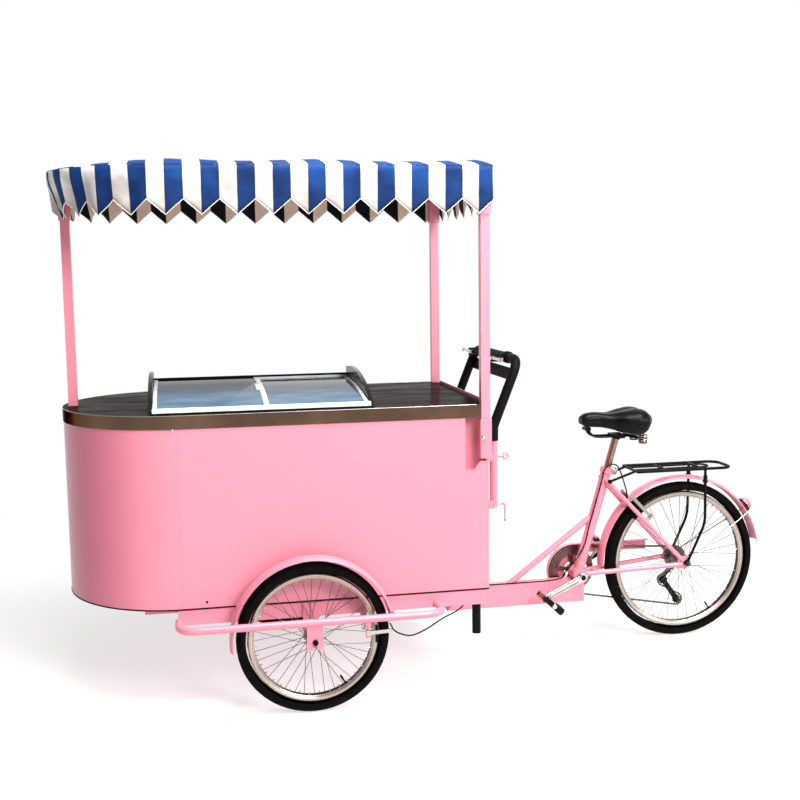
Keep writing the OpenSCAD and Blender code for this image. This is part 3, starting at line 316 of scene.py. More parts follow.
def wheel_rim(name, hub, radius):
    """Alloy rim: rings of painted reflection on its walls, pale and brown and darker at their inner and outer edges,
    told apart by their distance from the hub, and a well painted black as shade.
    """
    f = Finish(name, srgb(176, 168, 158), 0.26, 0.8)
    painted_reflection_rings = f.node("ShaderNodeValToRGB")
    wall = f.ranged(f.distance(hub, (1, 0, 1)), 0, 1, radius - 0.018, radius)
    f.wire(wall, painted_reflection_rings.inputs["Fac"])
    # painted reflection: pale and brown rings across the wall
    stops = ((0.0, srgb(60, 54, 50)), (0.12, srgb(186, 176, 166)), (0.30, srgb(132, 102, 84)),
             (0.42, srgb(196, 186, 176)), (0.62, srgb(166, 136, 116)), (0.78, srgb(186, 178, 170)),
             (0.94, srgb(86, 76, 70)))
    while len(painted_reflection_rings.color_ramp.elements) < len(stops):
        painted_reflection_rings.color_ramp.elements.new(0.5)
    for element, (place, colour) in zip(painted_reflection_rings.color_ramp.elements, stops):
        element.position, element.color = place, colour
    # painted shade: faces not turned along the axle, the rim's well, are black
    f.paint(f.mixed(f.facing("Y", 0.4, 0.75), srgb(16, 14, 14), painted_reflection_rings.outputs["Color"]))
    f.roughen(f.noise(30.0), 0.2, 0.32)
    return f.material


def moulded(name, colour, rough, speck=240.0, gloss=0.5):
    f = Finish(name, colour, rough, Specular_IOR_Level=gloss)
    f.paint(f.mottled(f.noise(18.0), shade(colour, 0.9), shade(colour, 1.1)))
    f.roughen(f.noise(44.0), rough - 0.07, rough + 0.1)
    f.emboss(f.noise(speck, 2), 0.15, 0.0004)
    return f.material


def lid_glass():
    """Tinted lid glass: pale blue over the tub's front, and a painted reflection in dark olive towards the far rail.
    """
    f = Finish("lid_glass", srgb(100, 124, 146), 0.06, Alpha=0.82, Specular_IOR_Level=0.03)
    film = f.noise(6.0, 4, (1, 3, 1))
    # painted reflection: dark olive towards the far rail
    painted_reflection_mask = f.ranged(f.part("Y"), 0, 1, -0.20, -0.02)
    pale = f.mottled(film, srgb(64, 88, 112), srgb(100, 124, 142))
    f.paint(f.mixed(painted_reflection_mask, pale, srgb(14, 16, 11)))
    f.roughen(film, 0.03, 0.09)
    return f.material


def tyre_rubber():
    f = Finish("tyre_rubber", srgb(10, 8, 8), 0.7, Specular_IOR_Level=0.05)
    dust = f.ranged(f.noise(34.0, 6), 0, 0.5, 0.45, 0.75)
    f.paint(f.mixed(dust, srgb(6, 4, 4), srgb(20, 15, 14)))
    f.roughen(f.noise(70.0), 0.6, 0.85)
    f.emboss(f.noise(520.0, 3), 0.25, 0.0005)
    return f.material


def saddle_vinyl():
    f = Finish("saddle_vinyl", srgb(7, 6, 6), 0.3, Specular_IOR_Level=0.12)
    f.paint(f.mottled(f.noise(22.0), srgb(3, 3, 3), srgb(8, 8, 8)))
    f.roughen(f.noise(40.0), 0.3, 0.45)
    f.emboss(f.cells(520.0), 0.25, 0.0004)
    return f.material


def awning_cloth(name, stripes, pale_pair, deep_pair):
    """Woven awning cloth, striped along the first UV coordinate, which counts stripes, with painted shade in its
    creases and lower down.
    """
    f = Finish(name, pale_pair[1], 0.7, Specular_IOR_Level=0.15)
    # painted shade: darker in creases and towards the bottom of the hanging cloth
    crease = f.ranged(f.noise(5.0, 4, (1.4, 1.4, 2.4)), 0.34, 1.0, 0.36, 0.6)
    hung = f.ranged(f.part("Z"), 0.25, 1.0, CANOPY_Z - 0.14, CANOPY_Z - 0.02)
    painted_shade = f.product(crease, hung)
    pale, deep = f.mixed(painted_shade, *pale_pair), f.mixed(painted_shade, *deep_pair)
    if stripes:
        turn = f.reckon("FRACT", f.part("X", "UV"))
        stripe = f.mixed(f.reckon("LESS_THAN", turn, 0.5), pale, deep)
        seam = f.ranged(f.reckon("PINGPONG", turn, 0.25), 0.6, 0, 0.006, 0.012)
        f.paint(f.mixed(seam, stripe, shade(deep_pair[0], 0.5)))
    else:
        f.paint(pale)
    weave = f.product(f.bands(520.0, "X"), f.bands(520.0, "Z"))
    f.emboss(weave, 0.25, 0.0004)
    f.emboss(f.noise(17.0, 3, (1, 1, 0.6)), 0.35, 0.006)
    return f.material


def reflector_lens():
    f = Finish("reflector_lens", srgb(190, 120, 130), 0.12, Coat_Weight=0.6, Coat_Roughness=0.05)
    prism = f.cells(260.0)
    f.paint(f.mixed(f.ranged(prism, 0, 1, 0.2, 0.6), srgb(222, 168, 174), srgb(120, 40, 56)))
    f.emboss(prism, 0.5, 0.0008)
    return f.material


add_camera()
add_studio()

PINK = srgb(211, 124, 140)
FINISHES = {
    "pink": gloss_paint("pink_enamel", PINK, 0.15),
    "frame_pink": gloss_paint("frame_enamel", srgb(211, 121, 139), 0.22),
    # the nose's paint, with painted shade on its sides
    "nose_pink_painted_shade": gloss_paint("nose_enamel_painted_shade", PINK, 0.15, srgb(190, 92, 117)),
    "black": satin_black("satin_black", 0.36),
    "grip": satin_black("grip_foam", 0.62),
    "counter": brushed_counter(),
    "liner": moulded("liner_sheet", srgb(150, 168, 186), 0.45),
    "casing": moulded("casing_paint", srgb(196, 200, 203), 0.5),
    "compressor": satin_black("compressor_black", 0.45),
    "battery": moulded("battery_case", srgb(48, 54, 62), 0.5, 240, 0.3),
    "lid": moulded("lid_white", srgb(208, 211, 213), 0.3),
    "cap": moulded("cap_grey", srgb(22, 30, 22), 0.2, 240, 0.1),
    "glass": lid_glass(),
    "tyre": tyre_rubber(),
    "rim": wheel_rim("front_rim_alloy", FRONT_HUB * Vector((1, 0, 1)), RIM_EDGE + FRONT_HUB.z),
    "rear_rim": wheel_rim("rear_rim_alloy", REAR_HUB * Vector((1, 0, 1)), RIM_EDGE + REAR_HUB.z),
    "steel": metal("dark_steel", srgb(96, 90, 86), 0.34, 130),
    "chrome": metal("chrome", srgb(206, 200, 194), 0.12, 60, spread=0.05),
    "cable": moulded("cable_sheath", srgb(12, 11, 11), 0.5, 400, 0.1),
    "plastic": moulded("black_plastic", srgb(10, 9, 9), 0.45, 320, 0.12),
    "chain": metal("oiled_chain", srgb(120, 110, 98), 0.36, 200),
    "alloy": metal("polished_alloy", srgb(190, 182, 174), 0.2, 90, spread=0.06),
    "ring": metal("dull_ring", srgb(120, 92, 92), 0.32, 120),
    "saddle": saddle_vinyl(),
    "reflector": reflector_lens(),
    # the first colour of each pair is the painted shade
    "stripes": awning_cloth("striped_awning", True, (srgb(146, 132, 124), srgb(238, 236, 234)),
                            (srgb(3, 18, 56), srgb(15, 62, 124))),
    # painted shade: the cloth's inside, its white stripes beige and its blue near black
    "inside_painted_shade": awning_cloth("awning_inside_painted_shade", True, (srgb(226, 202, 182), srgb(240, 220, 202)),
                           (srgb(6, 7, 14), srgb(12, 15, 30))),
    "binding": awning_cloth("white_binding", False, (srgb(214, 208, 204), srgb(240, 238, 236)),
                            (srgb(8, 38, 92), srgb(24, 70, 142))),
    # painted reflection: the seat post's chrome tinted brown
    "post": metal("chrome_brown_painted_reflection", srgb(178, 148, 128), 0.16, 60, spread=0.06),
    "amber": moulded("amber_lens", srgb(134, 50, 26), 0.2),
    "seal": moulded("black_seal", srgb(14, 10, 11), 0.6, 240, 0.08),
    "rubber": moulded("brake_rubber", srgb(14, 13, 13), 0.7, 300, 0.08),
    "zinc": metal("zinc_bolts", srgb(176, 176, 172), 0.3, 240),
}

NODE_FINISH = {
    "nose_pink_painted_shade": ["nose_sheet"],
    "pink": ["side_panels", "rear_panel", "canopy_poles", "handle_posts"],
    "frame_pink": ["chassis", "canopy_frame", "guard_rails", "front_fenders", "rear_frame", "rear_fender",
                   "chain_guard"],
    "black": ["rear_rack", "leg_left", "leg_right", "front_axles", "saddle_rails"],
    "grip": ["handlebar"],
    "counter": ["counter_top"],
    "liner": ["freezer_liner"],
    "casing": ["freezer_casing"],
    "compressor": ["cooling_unit"],
    "battery": ["battery"],
    "lid": ["lid_frame", "trim_left", "trim_right"],
    "cap": ["lid_end_caps"],
    "glass": ["glass_left", "glass_right"],
    "rim": ["front_left_rim", "front_right_rim"],
    "rear_rim": ["rear_rim"],
    "steel": ["front_left_hub", "front_right_hub", "rear_hub", "freewheel", "rear_axle", "chain"],
    "chrome": ["lever_left", "lever_right"],
    "post": ["seat_post"],
    "cable": ["front_cables", "rear_cable"],
    "plastic": ["derailleur", "pedal_left", "pedal_right"],
    "alloy": ["crankset", "arm_left_outer", "arm_left_inner", "arm_right_outer",
              "arm_right_inner", "arm_rear_left", "arm_rear_right"],
    "saddle": ["saddle"],
    "reflector": ["tail_reflector"],
    "stripes": ["canopy_roof", "canopy_valance"],
    "tyre": ["front_left_tyre", "front_right_tyre", "rear_tyre"],
}
for finish, names in NODE_FINISH.items():
    for name in names:
        mesh = nodes_cad[name].data
        mesh.materials.clear()
        mesh.materials.append(FINISHES[finish])


# Making pieces

SHARP = math.radians(38)


def piece(name, bm, finish, body, smooth=True):
    """Turns a bmesh into a piece that rides on a body."""
    if smooth:
        for edge in bm.edges:
            edge.smooth = edge.calc_face_angle(0) < SHARP
    for face in bm.faces:
        face.smooth = smooth
    mesh = bpy.data.meshes.new(name)
    bm.to_mesh(mesh)
    bm.free()
    obj = bpy.data.objects.new(name, mesh)
    obj.data.materials.append(FINISHES[finish])
    bpy.context.scene.collection.objects.link(obj)
    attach(obj, body)
    return obj


def mapped_grid(columns, rows, place, marks=None):
    """A grid whose point (u, v), from 0 to 1, lies at place(u, v); marks(u, v) is its UV."""
    bm = bmesh.new()
    bmesh.ops.create_grid(bm, x_segments=columns, y_segments=rows, size=0.5)
    layer = bm.loops.layers.uv.new("UVMap")
    for face in bm.faces:
        for loop in face.loops:
            u, v = loop.vert.co.x + 0.5, loop.vert.co.y + 0.5
            loop[layer].uv = marks(u, v) if marks else (u, v)
    for vert in bm.verts:
        vert.co = place(vert.co.x + 0.5, vert.co.y + 0.5)
    return bm


def outward(turn):
    """Direction from a wheel's middle, turned up from the rear."""
    return Vector((math.cos(turn), 0, math.sin(turn)))


def round_nose(rear, half, z, steps):
    """A path along the left side of the box, round its nose and back along the right."""
    path = [Vector((NOSE_X - half * math.sin(math.pi * k / steps), -half * math.cos(math.pi * k / steps), z))
            for k in range(steps + 1)]
    return [Vector((rear, -half, z))] + path + [Vector((rear, half, z))]


def rounded(points, radius, steps=8):
    """A polyline with every inner corner rounded."""
    path = [points[0]]
    for before, corner, after in zip(points, points[1:], points[2:]):
        into, out = (corner - before).normalized(), (after - corner).normalized()
        cut = radius * math.tan(into.angle(out) / 2)
        start, stop = corner - into * cut, corner + out * cut
        for k in range(steps + 1):
            t = k / steps
            path.append((1 - t) ** 2 * start + 2 * t * (1 - t) * corner + t * t * stop)
    return path + [points[-1]]


def tube(bm, path, radius, sides=3, closed=False):
    """Adds a round tube along a path."""
    curve = bpy.data.curves.new("path", "CURVE")
    curve.dimensions = "3D"
    curve.bevel_depth = radius
    curve.bevel_resolution = sides
    curve.use_fill_caps = not closed
    spline = curve.splines.new("POLY")
    spline.points.add(len(path) - 1)
    for point, co in zip(spline.points, path):
        point.co = (*co, 1)
    spline.use_cyclic_u = closed
    holder = bpy.data.objects.new("path", curve)
    mesh = bpy.data.meshes.new_from_object(holder)
    bm.from_mesh(mesh)
    bpy.data.objects.remove(holder)
    bpy.data.curves.remove(curve)
    bpy.data.meshes.remove(mesh)
    bmesh.ops.remove_doubles(bm, verts=bm.verts, dist=1e-6)


def brick(bm, middle, half, bevel=0.0, turn=None):
    """Adds a box by its middle and half size, its edges rounded, turned about its middle."""
    made = bmesh.ops.create_cube(bm, size=2)["verts"]
    bmesh.ops.scale(bm, vec=half, verts=made)
    if bevel:
        edges = list({e for v in made for e in v.link_edges})
        made = bmesh.ops.bevel(bm, geom=edges, offset=bevel, affect="EDGES", segments=2, profile=0.5,
                               material=-1)["verts"]
    if turn is not None:
        bmesh.ops.transform(bm, matrix=turn.to_4x4(), verts=made)
    bmesh.ops.translate(bm, vec=middle, verts=made)


def block(bm, low, high, bevel=0.0):
    """Adds a box between two corners."""
    low, high = Vector(low), Vector(high)
    brick(bm, (low + high) / 2, (high - low) / 2, bevel)


def disc(bm, centre, axis, radius, depth, sides=24, top=None):
    """Adds a short cylinder, or a cone where top is another radius, standing on centre."""
    turn = Vector((0, 0, 1)).rotation_difference(Vector(axis)).to_matrix().to_4x4()
    place = Matrix.Translation(Vector(centre)) @ turn @ Matrix.Translation((0, 0, depth / 2))
    bmesh.ops.create_cone(bm, cap_ends=True, segments=sides, radius1=radius,
                          radius2=radius if top is None else top, depth=depth, matrix=place)


def bolt(bm, centre, axis, across=0.010):
    """Adds a washer and a domed hex head."""
    axis = Vector(axis).normalized()
    centre = Vector(centre)
    disc(bm, centre, axis, across * 0.95, 0.0012)
    disc(bm, centre + axis * 0.0012, axis, across * 0.58, across * 0.5, 6)
    disc(bm, centre + axis * (0.0012 + across * 0.5), axis, across * 0.45, across * 0.1, 12, across * 0.28)


# Canopy cloth: a stretched roof and a hanging valance of points

CROWN = 0.044
CANOPY_REAR = BOX_REAR + 0.012
ROOF_HALF = BOX_HALF + 0.017
ROOF_R = (ROOF_HALF ** 2 + CROWN ** 2) / (2 * CROWN)
SIDE_L = CANOPY_REAR - NOSE_X
EDGE_L = 2 * SIDE_L + math.pi * ROOF_HALF + 2 * ROOF_HALF
POINTS = 37
PERIOD = EDGE_L / POINTS
FIRST_NOTCH = 0.101
NOTCH_DROP, POINT_DROP = 0.103, 0.047
CLOTH = 0.0012


def canopy_edge(s):
    """Place and outward direction on the canopy's edge, s metres on from the left rear corner."""
    s = s % EDGE_L
    if s < SIDE_L:
        return Vector((CANOPY_REAR - s, -ROOF_HALF, 0)), Vector((0, -1, 0))
    s -= SIDE_L
    if s < math.pi * ROOF_HALF:
        a = 1.5 * math.pi - s / ROOF_HALF
        out = Vector((math.cos(a), math.sin(a), 0))
        return Vector((NOSE_X, 0, 0)) + out * ROOF_HALF, out
    s -= math.pi * ROOF_HALF
    if s < SIDE_L:
        return Vector((NOSE_X + s, ROOF_HALF, 0)), Vector((0, 1, 0))
    return Vector((CANOPY_REAR, ROOF_HALF - (s - SIDE_L), 0)), Vector((1, 0, 0))


def stripe_count(s):
    return (s - FIRST_NOTCH) / PERIOD


def dome(r):
    return CANOPY_Z + CROWN - ROOF_R + math.sqrt(ROOF_R ** 2 - r * r)


BOWS = [NOSE_X + 0.011, NOSE_X + 0.471, CANOPY_REAR]


def roof_sag(x, r):
    """How far the cloth hangs between its bows, with small pulls along them."""
    gap = min(abs(x - bow) for bow in BOWS)
    inner = max(0.0, 1 - (r / ROOF_HALF) ** 2)
    return inner * (0.007 * min(1, gap / 0.2) + 0.0012 * math.sin(x * 61) * math.sin(r * 23 + x * 7))


def add_roof_cloth():
    around = 2 * SIDE_L + math.pi * ROOF_HALF

    def place(u, v):
        edge, _ = canopy_edge(u * around * 0.999999)
        ridge = Vector((max(edge.x, NOSE_X), 0, 0))
        spot = edge.lerp(ridge, v)
        r = (spot - ridge).length
        return Vector((spot.x, spot.y, dome(r) - roof_sag(spot.x, r)))

    def marks(u, v):
        spot = place(u, v)
        return stripe_count(CANOPY_REAR - spot.x), spot.y

    bm = mapped_grid(220, 26, place, marks)
    bmesh.ops.remove_doubles(bm, verts=bm.verts, dist=2e-5)
    bmesh.ops.recalc_face_normals(bm, faces=bm.faces)
    if sum(f.normal.z for f in bm.faces) < 0:
        bmesh.ops.reverse_faces(bm, faces=bm.faces)
    roof = piece("roof_cloth", bm, "stripes", "cart")
    thicken(roof)
    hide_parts("canopy_roof")
    gable = mapped_grid(40, 4, lambda u, v: Vector((
        CANOPY_REAR, (2 * u - 1) * ROOF_HALF,
        CANOPY_Z - 0.004 + v * (dome(abs(2 * u - 1) * ROOF_HALF) - CANOPY_Z + 0.003))),
        lambda u, v: (stripe_count(EDGE_L - u * 2 * ROOF_HALF), v))
    gable_cloth = piece("gable_cloth", gable, "stripes", "cart")
    thicken(gable_cloth)


def thicken(obj):
    """Gives cloth its thickness, with painted shade on the inside: darker copies of the stripes."""
    obj.data.materials.append(FINISHES["inside_painted_shade"])
    wall = obj.modifiers.new("wall", "SOLIDIFY")
    wall.thickness = CLOTH
    wall.offset = -1
    wall.material_offset = 1


def valance_drop(s):
    """Depth of the valance below the edge: points between notches."""
    t = stripe_count(s) % 1
    return NOTCH_DROP + POINT_DROP * (1 - abs(2 * t - 1))


def valance_swing(s, depth):
    """How far the hanging cloth stands out, in gathers that grow downwards; the nose hangs in past its pole."""
    column = 6 * stripe_count(s)
    edge, out = canopy_edge(s)
    nose = max(0.0, -out.x)
    lean = 0.004 if out.x > 0.99 else -0.0045
    loose = 1 + 2.2 * nose
    beside = 0.6 + 0.4 * min(1, max(0, (abs(edge.y) - 0.02) / 0.02))
    tuck = 0.036 * nose * nose * beside * max(0, depth - 0.03) / 0.12
    gather = 0.0035 * loose * math.sin(math.tau * column / 17) * math.sin(math.tau * column / 6.5)
    ripple = 0.0008 * math.sin(s * 83 + depth * 40) * min(1, depth / 0.03)
    return (lean + gather) * depth / NOTCH_DROP * 0.9 + ripple - tuck


def valance_place(s, depth):
    edge, out = canopy_edge(s)
    spot = edge + out * valance_swing(s, depth)
    return Vector((spot.x, spot.y, CANOPY_Z - 0.002 - depth))


def add_valance():
    columns = POINTS * 16

    def place(u, v):
        s = FIRST_NOTCH + u * EDGE_L
        return valance_place(s, v * valance_drop(s))

    bm = mapped_grid(columns, 8, place, lambda u, v: (u * POINTS, v))
    bmesh.ops.remove_doubles(bm, verts=bm.verts, dist=2e-5)
    bm.normal_update()
    middle = Vector(((NOSE_X + CANOPY_REAR) / 2, 0, 0))
    if sum(f.normal.dot(f.calc_center_median() - middle) for f in bm.faces) < 0:
        bmesh.ops.reverse_faces(bm, faces=bm.faces)
    valance = piece("valance_cloth", bm, "stripes", "cart")
    thicken(valance)
    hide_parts("canopy_valance")
    hem = [FIRST_NOTCH + k * EDGE_L / columns for k in range(columns)]
    bm = bmesh.new()
    tube(bm, [valance_place(s, valance_drop(s)) for s in hem], 0.0013, 1, True)
    piece("valance_binding", bm, "binding", "cart")


# Saddle

SEAT_LEAN = Vector((0.2753, 0, 0.9613))
SEAT_CLAMP = CRANK + Vector((0.003, 0, -0.006)) + SEAT_LEAN * 0.421
SADDLE_NOSE = SEAT_CLAMP + Vector((-0.108, 0, 0.216))
SADDLE_LENGTH = 0.256
SADDLE_HALF = ((0, 20), (0.05, 28), (0.25, 36), (0.45, 56), (0.62, 86), (0.8, 102), (0.93, 92), (1, 62))
SADDLE_TOP = ((0, -22), (0.05, -8), (0.2, -4), (0.42, -8), (0.6, 2), (0.8, 10), (0.93, 4), (1, -14))
SADDLE_LOW = ((0, -52), (0.06, -64), (0.3, -68), (0.5, -80), (0.7, -98), (0.85, -100), (0.95, -86), (1, -58))


def read(table, u):
    """Value of a small table of stations at u, in metres."""
    for (u0, a), (u1, b) in zip(table, table[1:]):
        if u <= u1:
            return (a + (b - a) * (u - u0) / (u1 - u0)) * MM
    return table[-1][1] * MM


def soft_read(table, u):
    """The same, eased over the neighbouring stations."""
    near = [min(1, max(0, u + d)) for d in (-0.04, -0.02, 0, 0.02, 0.04)]
    return sum(read(table, n) * w for n, w in zip(near, (1, 2, 4, 2, 1))) / 10


def saddle_point(u, turn):
    half, top, low = (soft_read(t, u) for t in (SADDLE_HALF, SADDLE_TOP, SADDLE_LOW))
    c, s = math.cos(turn), math.sin(turn)
    middle, rise = (top + low) / 2, (top - low) / 2
    y = half * math.copysign(abs(c) ** 0.8, c) * (1 - 0.12 * abs(s) if s < 0 else 1)
    z = middle + rise * math.copysign(abs(s) ** 0.75, s)
    if s > 0 and u > 0.3:
        z -= 0.009 * math.exp(-(y / 0.016) ** 2) * min(1, (u - 0.3) * 4)
    x = SADDLE_LENGTH * u
    if u > 0.9:
        x -= 0.014 * math.exp(-(y / 0.022) ** 2) * (u - 0.9) * 10
    z = max(z, min(low + 0.006 + 0.1 * abs(y), top - 0.012))
    return SADDLE_NOSE + Vector((x, y, z))


def add_saddle():
    def place(u, v):
        u = 0.5 - 0.5 * math.cos(math.pi * u)
        return saddle_point(u, math.tau * v)

    bm = mapped_grid(44, 56, place)
    bmesh.ops.remove_doubles(bm, verts=bm.verts, dist=1e-5)
    bmesh.ops.holes_fill(bm, edges=bm.edges, sides=0)
    bmesh.ops.recalc_face_normals(bm, faces=bm.faces)
    saddle = piece("saddle_cover", bm, "saddle", "seat")
    finer = saddle.modifiers.new("finer", "SUBSURF")
    finer.levels = finer.render_levels = 1
    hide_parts("saddle")
    seam = [0.02 + 0.96 * k / 60 for k in range(61)]
    bm = bmesh.new()
    for side in (-0.06, math.pi + 0.06):
        tube(bm, [saddle_point(u, side) for u in seam], 0.0012, 2)
    piece("saddle_piping", bm, "saddle", "seat")
    clamp = SEAT_CLAMP + SEAT_LEAN * 0.112
    bm = bmesh.new()
    for side in (-1, 1):
        foot = clamp + Vector((0.091, 0.044 * side, -0.012))
        coil = [foot + Vector((0.0165 * math.cos(a), 0.0165 * math.sin(a), a * 0.0011))
                for a in (math.tau * k / 16 for k in range(76))]
        tube(bm, coil, 0.0017, 2)
    piece("saddle_springs", bm, "chrome", "seat")
    bm = bmesh.new()
    lug = SEAT_CLAMP + Vector((0.0265, 0, -0.010))
    disc(bm, lug + Vector((0, -0.0175, 0)), (0, 1, 0), 0.0032, 0.035, 16)
    for side in (-1, 1):
        bolt(bm, lug + Vector((0, side * 0.0135, 0)), (0, side, 0), 0.010)
    piece("seat_bolt", bm, "chrome", "rear_end")


# Wheels

TYRE_R, TREAD = 0.0225, 0.0010
RIM_DEPTH = 0.056
SPOKES = 36


def add_tyre(name, hub, body, steps):
    """A tyre spun from its section, with raised tread blocks."""
    core = hub.z - TYRE_R
    bead = math.radians(222)
    bm = bmesh.new()
    ring = []
    count = 22
    for k in range(count + 1):
        a = -bead / 2 + bead * k / count
        r = TYRE_R - (TREAD if abs(a) < 1.0 else 0.0002)
        ring.append(bm.verts.new(hub + Vector((core + r * math.cos(a), r * math.sin(a), 0))))
    edges = [bm.edges.new(pair) for pair in zip(ring, ring[1:])]
    bmesh.ops.spin(bm, geom=ring + edges, cent=hub, axis=(0, 1, 0), angle=math.tau, steps=steps, use_merge=True)
    bmesh.ops.remove_doubles(bm, verts=bm.verts, dist=1e-5)
    bmesh.ops.recalc_face_normals(bm, faces=bm.faces)

    def on_tread(face):
        spot = face.calc_center_median() - hub
        across = spot.y / TYRE_R
        turn = math.atan2(spot.z, spot.x) / math.tau * steps
        row = int((across + 1) * 5.5)
        out = math.hypot(spot.x, spot.z)
        return out > core and abs(across) < 0.78 and (int(math.floor(turn)) + row) % 2 == 0

    blocks = [f for f in bm.faces if on_tread(f)]
    bmesh.ops.inset_individual(bm, faces=blocks, thickness=0.0008, depth=TREAD * 0.95)
    tyre = piece(name + "_tread", bm, "tyre", body)
    wall = tyre.modifiers.new("wall", "SOLIDIFY")
    wall.thickness = 0.003
    wall.offset = -1
    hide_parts(name)
    bm = bmesh.new()
    for side in (-1, 1):
        for depth, thick in ((0.62, 0.0007), (0.30, 0.0006)):
            a = math.acos(-depth)
            centre = hub + Vector((0, side * TYRE_R * math.sin(a), 0))
            reach = core + TYRE_R * math.cos(a)
            tube(bm, [centre + reach * outward(math.tau * k / 96) for k in range(96)], thick, 1, True)
    piece(name + "_sidewall_beads", bm, "tyre", body)


def add_valve(name, hub, body):
    """Valve stem with its nut and cap, standing in from the rim."""
    out = outward(math.radians(-58))
    foot = hub + out * (hub.z - RIM_DEPTH + 0.001)
    bm = bmesh.new()
    disc(bm, foot, -out, 0.0052, 0.003, 6)
    disc(bm, foot - out * 0.003, -out, 0.0030, 0.022, 16)
    disc(bm, foot - out * 0.018, -out, 0.0040, 0.014, 12, 0.0034)
    piece(name, bm, "plastic", body)


def add_nipples(name, hub, body):
    """Spoke nipples at the rim's inner wall, left and right in turn."""
    bm = bmesh.new()
    for k in range(SPOKES):
        out = outward(math.tau * (k + 0.5) / SPOKES)
        side = Vector((0, 0.003 if k % 2 else -0.003, 0))
        disc(bm, hub + out * (hub.z - RIM_DEPTH + 0.0005) + side, -out, 0.0022, 0.009, 8, 0.0017)
    piece(name, bm, "zinc", body)


# Chain: plates and rollers along the closed loop of the solid

CHAIN_Y = 0.047
PITCH = 0.0127
RING_TEETH, COG_TEETH, JOCKEY_TEETH = 44, 18, 11


def wheel_radius(teeth):
    return PITCH / (2 * math.sin(math.pi / teeth))


GUIDE = Vector((REAR_X - 0.040, 0.205))
TENSION = Vector((REAR_X + 0.015, 0.125))
STOPS = [
    (Vector((CRANK.x, CRANK.z)), wheel_radius(RING_TEETH), -1),
    (Vector((REAR_X, REAR_HUB.z)), wheel_radius(COG_TEETH), -1),
    (GUIDE, wheel_radius(JOCKEY_TEETH), 1),
    (TENSION, wheel_radius(JOCKEY_TEETH), -1),
]


def run_angle(i):
    """Direction of the chain run that leaves wheel i."""
    (a, ra, sa), (b, rb, sb) = STOPS[i], STOPS[(i + 1) % 4]
    d = b - a
    return math.atan2(d.y, d.x) - math.asin((sb * rb - sa * ra) / d.length)


def chain_route():
    """Points of the closed chain loop, wheel by wheel."""
    route = []
    for i, (centre, radius, sense) in enumerate(STOPS):
        start = run_angle((i + 3) % 4) - sense * math.pi / 2
        stop = run_angle(i) - sense * math.pi / 2
        wrap = (sense * (stop - start)) % math.tau
        count = max(2, math.ceil(wrap / math.radians(3)))
        for k in range(count + 1):
            a = start + sense * wrap * k / count
            route.append(centre + radius * Vector((math.cos(a), math.sin(a))))
    return route + [route[0]]


def add_chain():
    route = chain_route()
    lengths = [0.0]
    for a, b in zip(route, route[1:]):
        lengths.append(lengths[-1] + (b - a).length)
    total = lengths[-1]
    links = 2 * round(total / PITCH / 2)

    def at(s):
        s = s % total
        k = next(i for i, far in enumerate(lengths[1:]) if s <= far)
        span = lengths[k + 1] - lengths[k]
        spot = route[k].lerp(route[k + 1], (s - lengths[k]) / span if span else 0)
        return Vector((spot.x, CHAIN_Y, spot.y))

    bm = bmesh.new()
    for i in range(links):
        a, b = at(total * i / links), at(total * (i + 1) / links)
        along = (b - a).normalized()
        offset = 0.0031 if i % 2 else 0.0021
        for side in (-1, 1):
            for spot in (a, b):
                disc(bm, spot + Vector((0, side * offset - 0.0004, 0)), (0, 1, 0), 0.0041, 0.0008, 8)
            turn = Vector((1, 0, 0)).rotation_difference(along).to_matrix()
            middle = (a + b) / 2 + Vector((0, side * offset, 0))
            half = Vector(((b - a).length / 2, 0.0004, 0.0029))
            brick(bm, middle, half, 0, turn)
        disc(bm, a - Vector((0, 0.0038, 0)), (0, 1, 0), 0.0019, 0.0076, 8)
        disc(bm, a - Vector((0, 0.0016, 0)), (0, 1, 0), 0.0038, 0.0032, 8)
    chain = piece("chain_links", bm, "chain", "rear_end", smooth=False)
    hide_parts("chain")


# Crankset: forged arms, spindle, toothed ring on a spider

CRANK_L = 0.162
CRANK_TURN = Matrix.Rotation(math.radians(-25), 3, "Y")


def forged_arm(bm, side):
    """Adds one crank arm, lofted along its length, with round bosses, a fluted face and its pedal spindle."""
    middle = side * 0.069

    def half(x):
        neck = 0.0118 + 0.0026 * x / CRANK_L
        root = math.sqrt(max(0.0, 0.0172 ** 2 - (CRANK_L - x) ** 2))
        tip = math.sqrt(max(0.0, 0.0142 ** 2 - x ** 2))
        return max(root, tip, neck if 0 < x < CRANK_L else 0.0)

    def place(u, v):
        x = -0.01419 + (CRANK_L + 0.03138) * u
        c, s = math.cos(math.tau * v), math.sin(math.tau * v)
        z = half(x) * math.copysign(abs(c) ** 0.6, c)
        y = 0.0069 * math.copysign(abs(s) ** 0.6, s)
        if s * side > 0 and 0.018 < x < CRANK_L - 0.020:
            y -= side * 0.0022 * max(0.0, 1 - (z / 0.0075) ** 2)
        return CRANK + CRANK_TURN @ Vector((side * (CRANK_L - x), middle + y, z))

    arm = mapped_grid(90, 32, place)
    bmesh.ops.remove_doubles(arm, verts=arm.verts, dist=1e-6)
    bmesh.ops.holes_fill(arm, edges=arm.edges, sides=0)
    bmesh.ops.recalc_face_normals(arm, faces=arm.faces)
    mesh = bpy.data.meshes.new("arm")
    arm.to_mesh(mesh)
    arm.free()
    bm.from_mesh(mesh)
    bpy.data.meshes.remove(mesh)
    tip = CRANK + CRANK_TURN @ Vector((side * CRANK_L, side * 0.066, 0))
    disc(bm, tip, (0, side, 0), 0.0045, 0.108, 20)


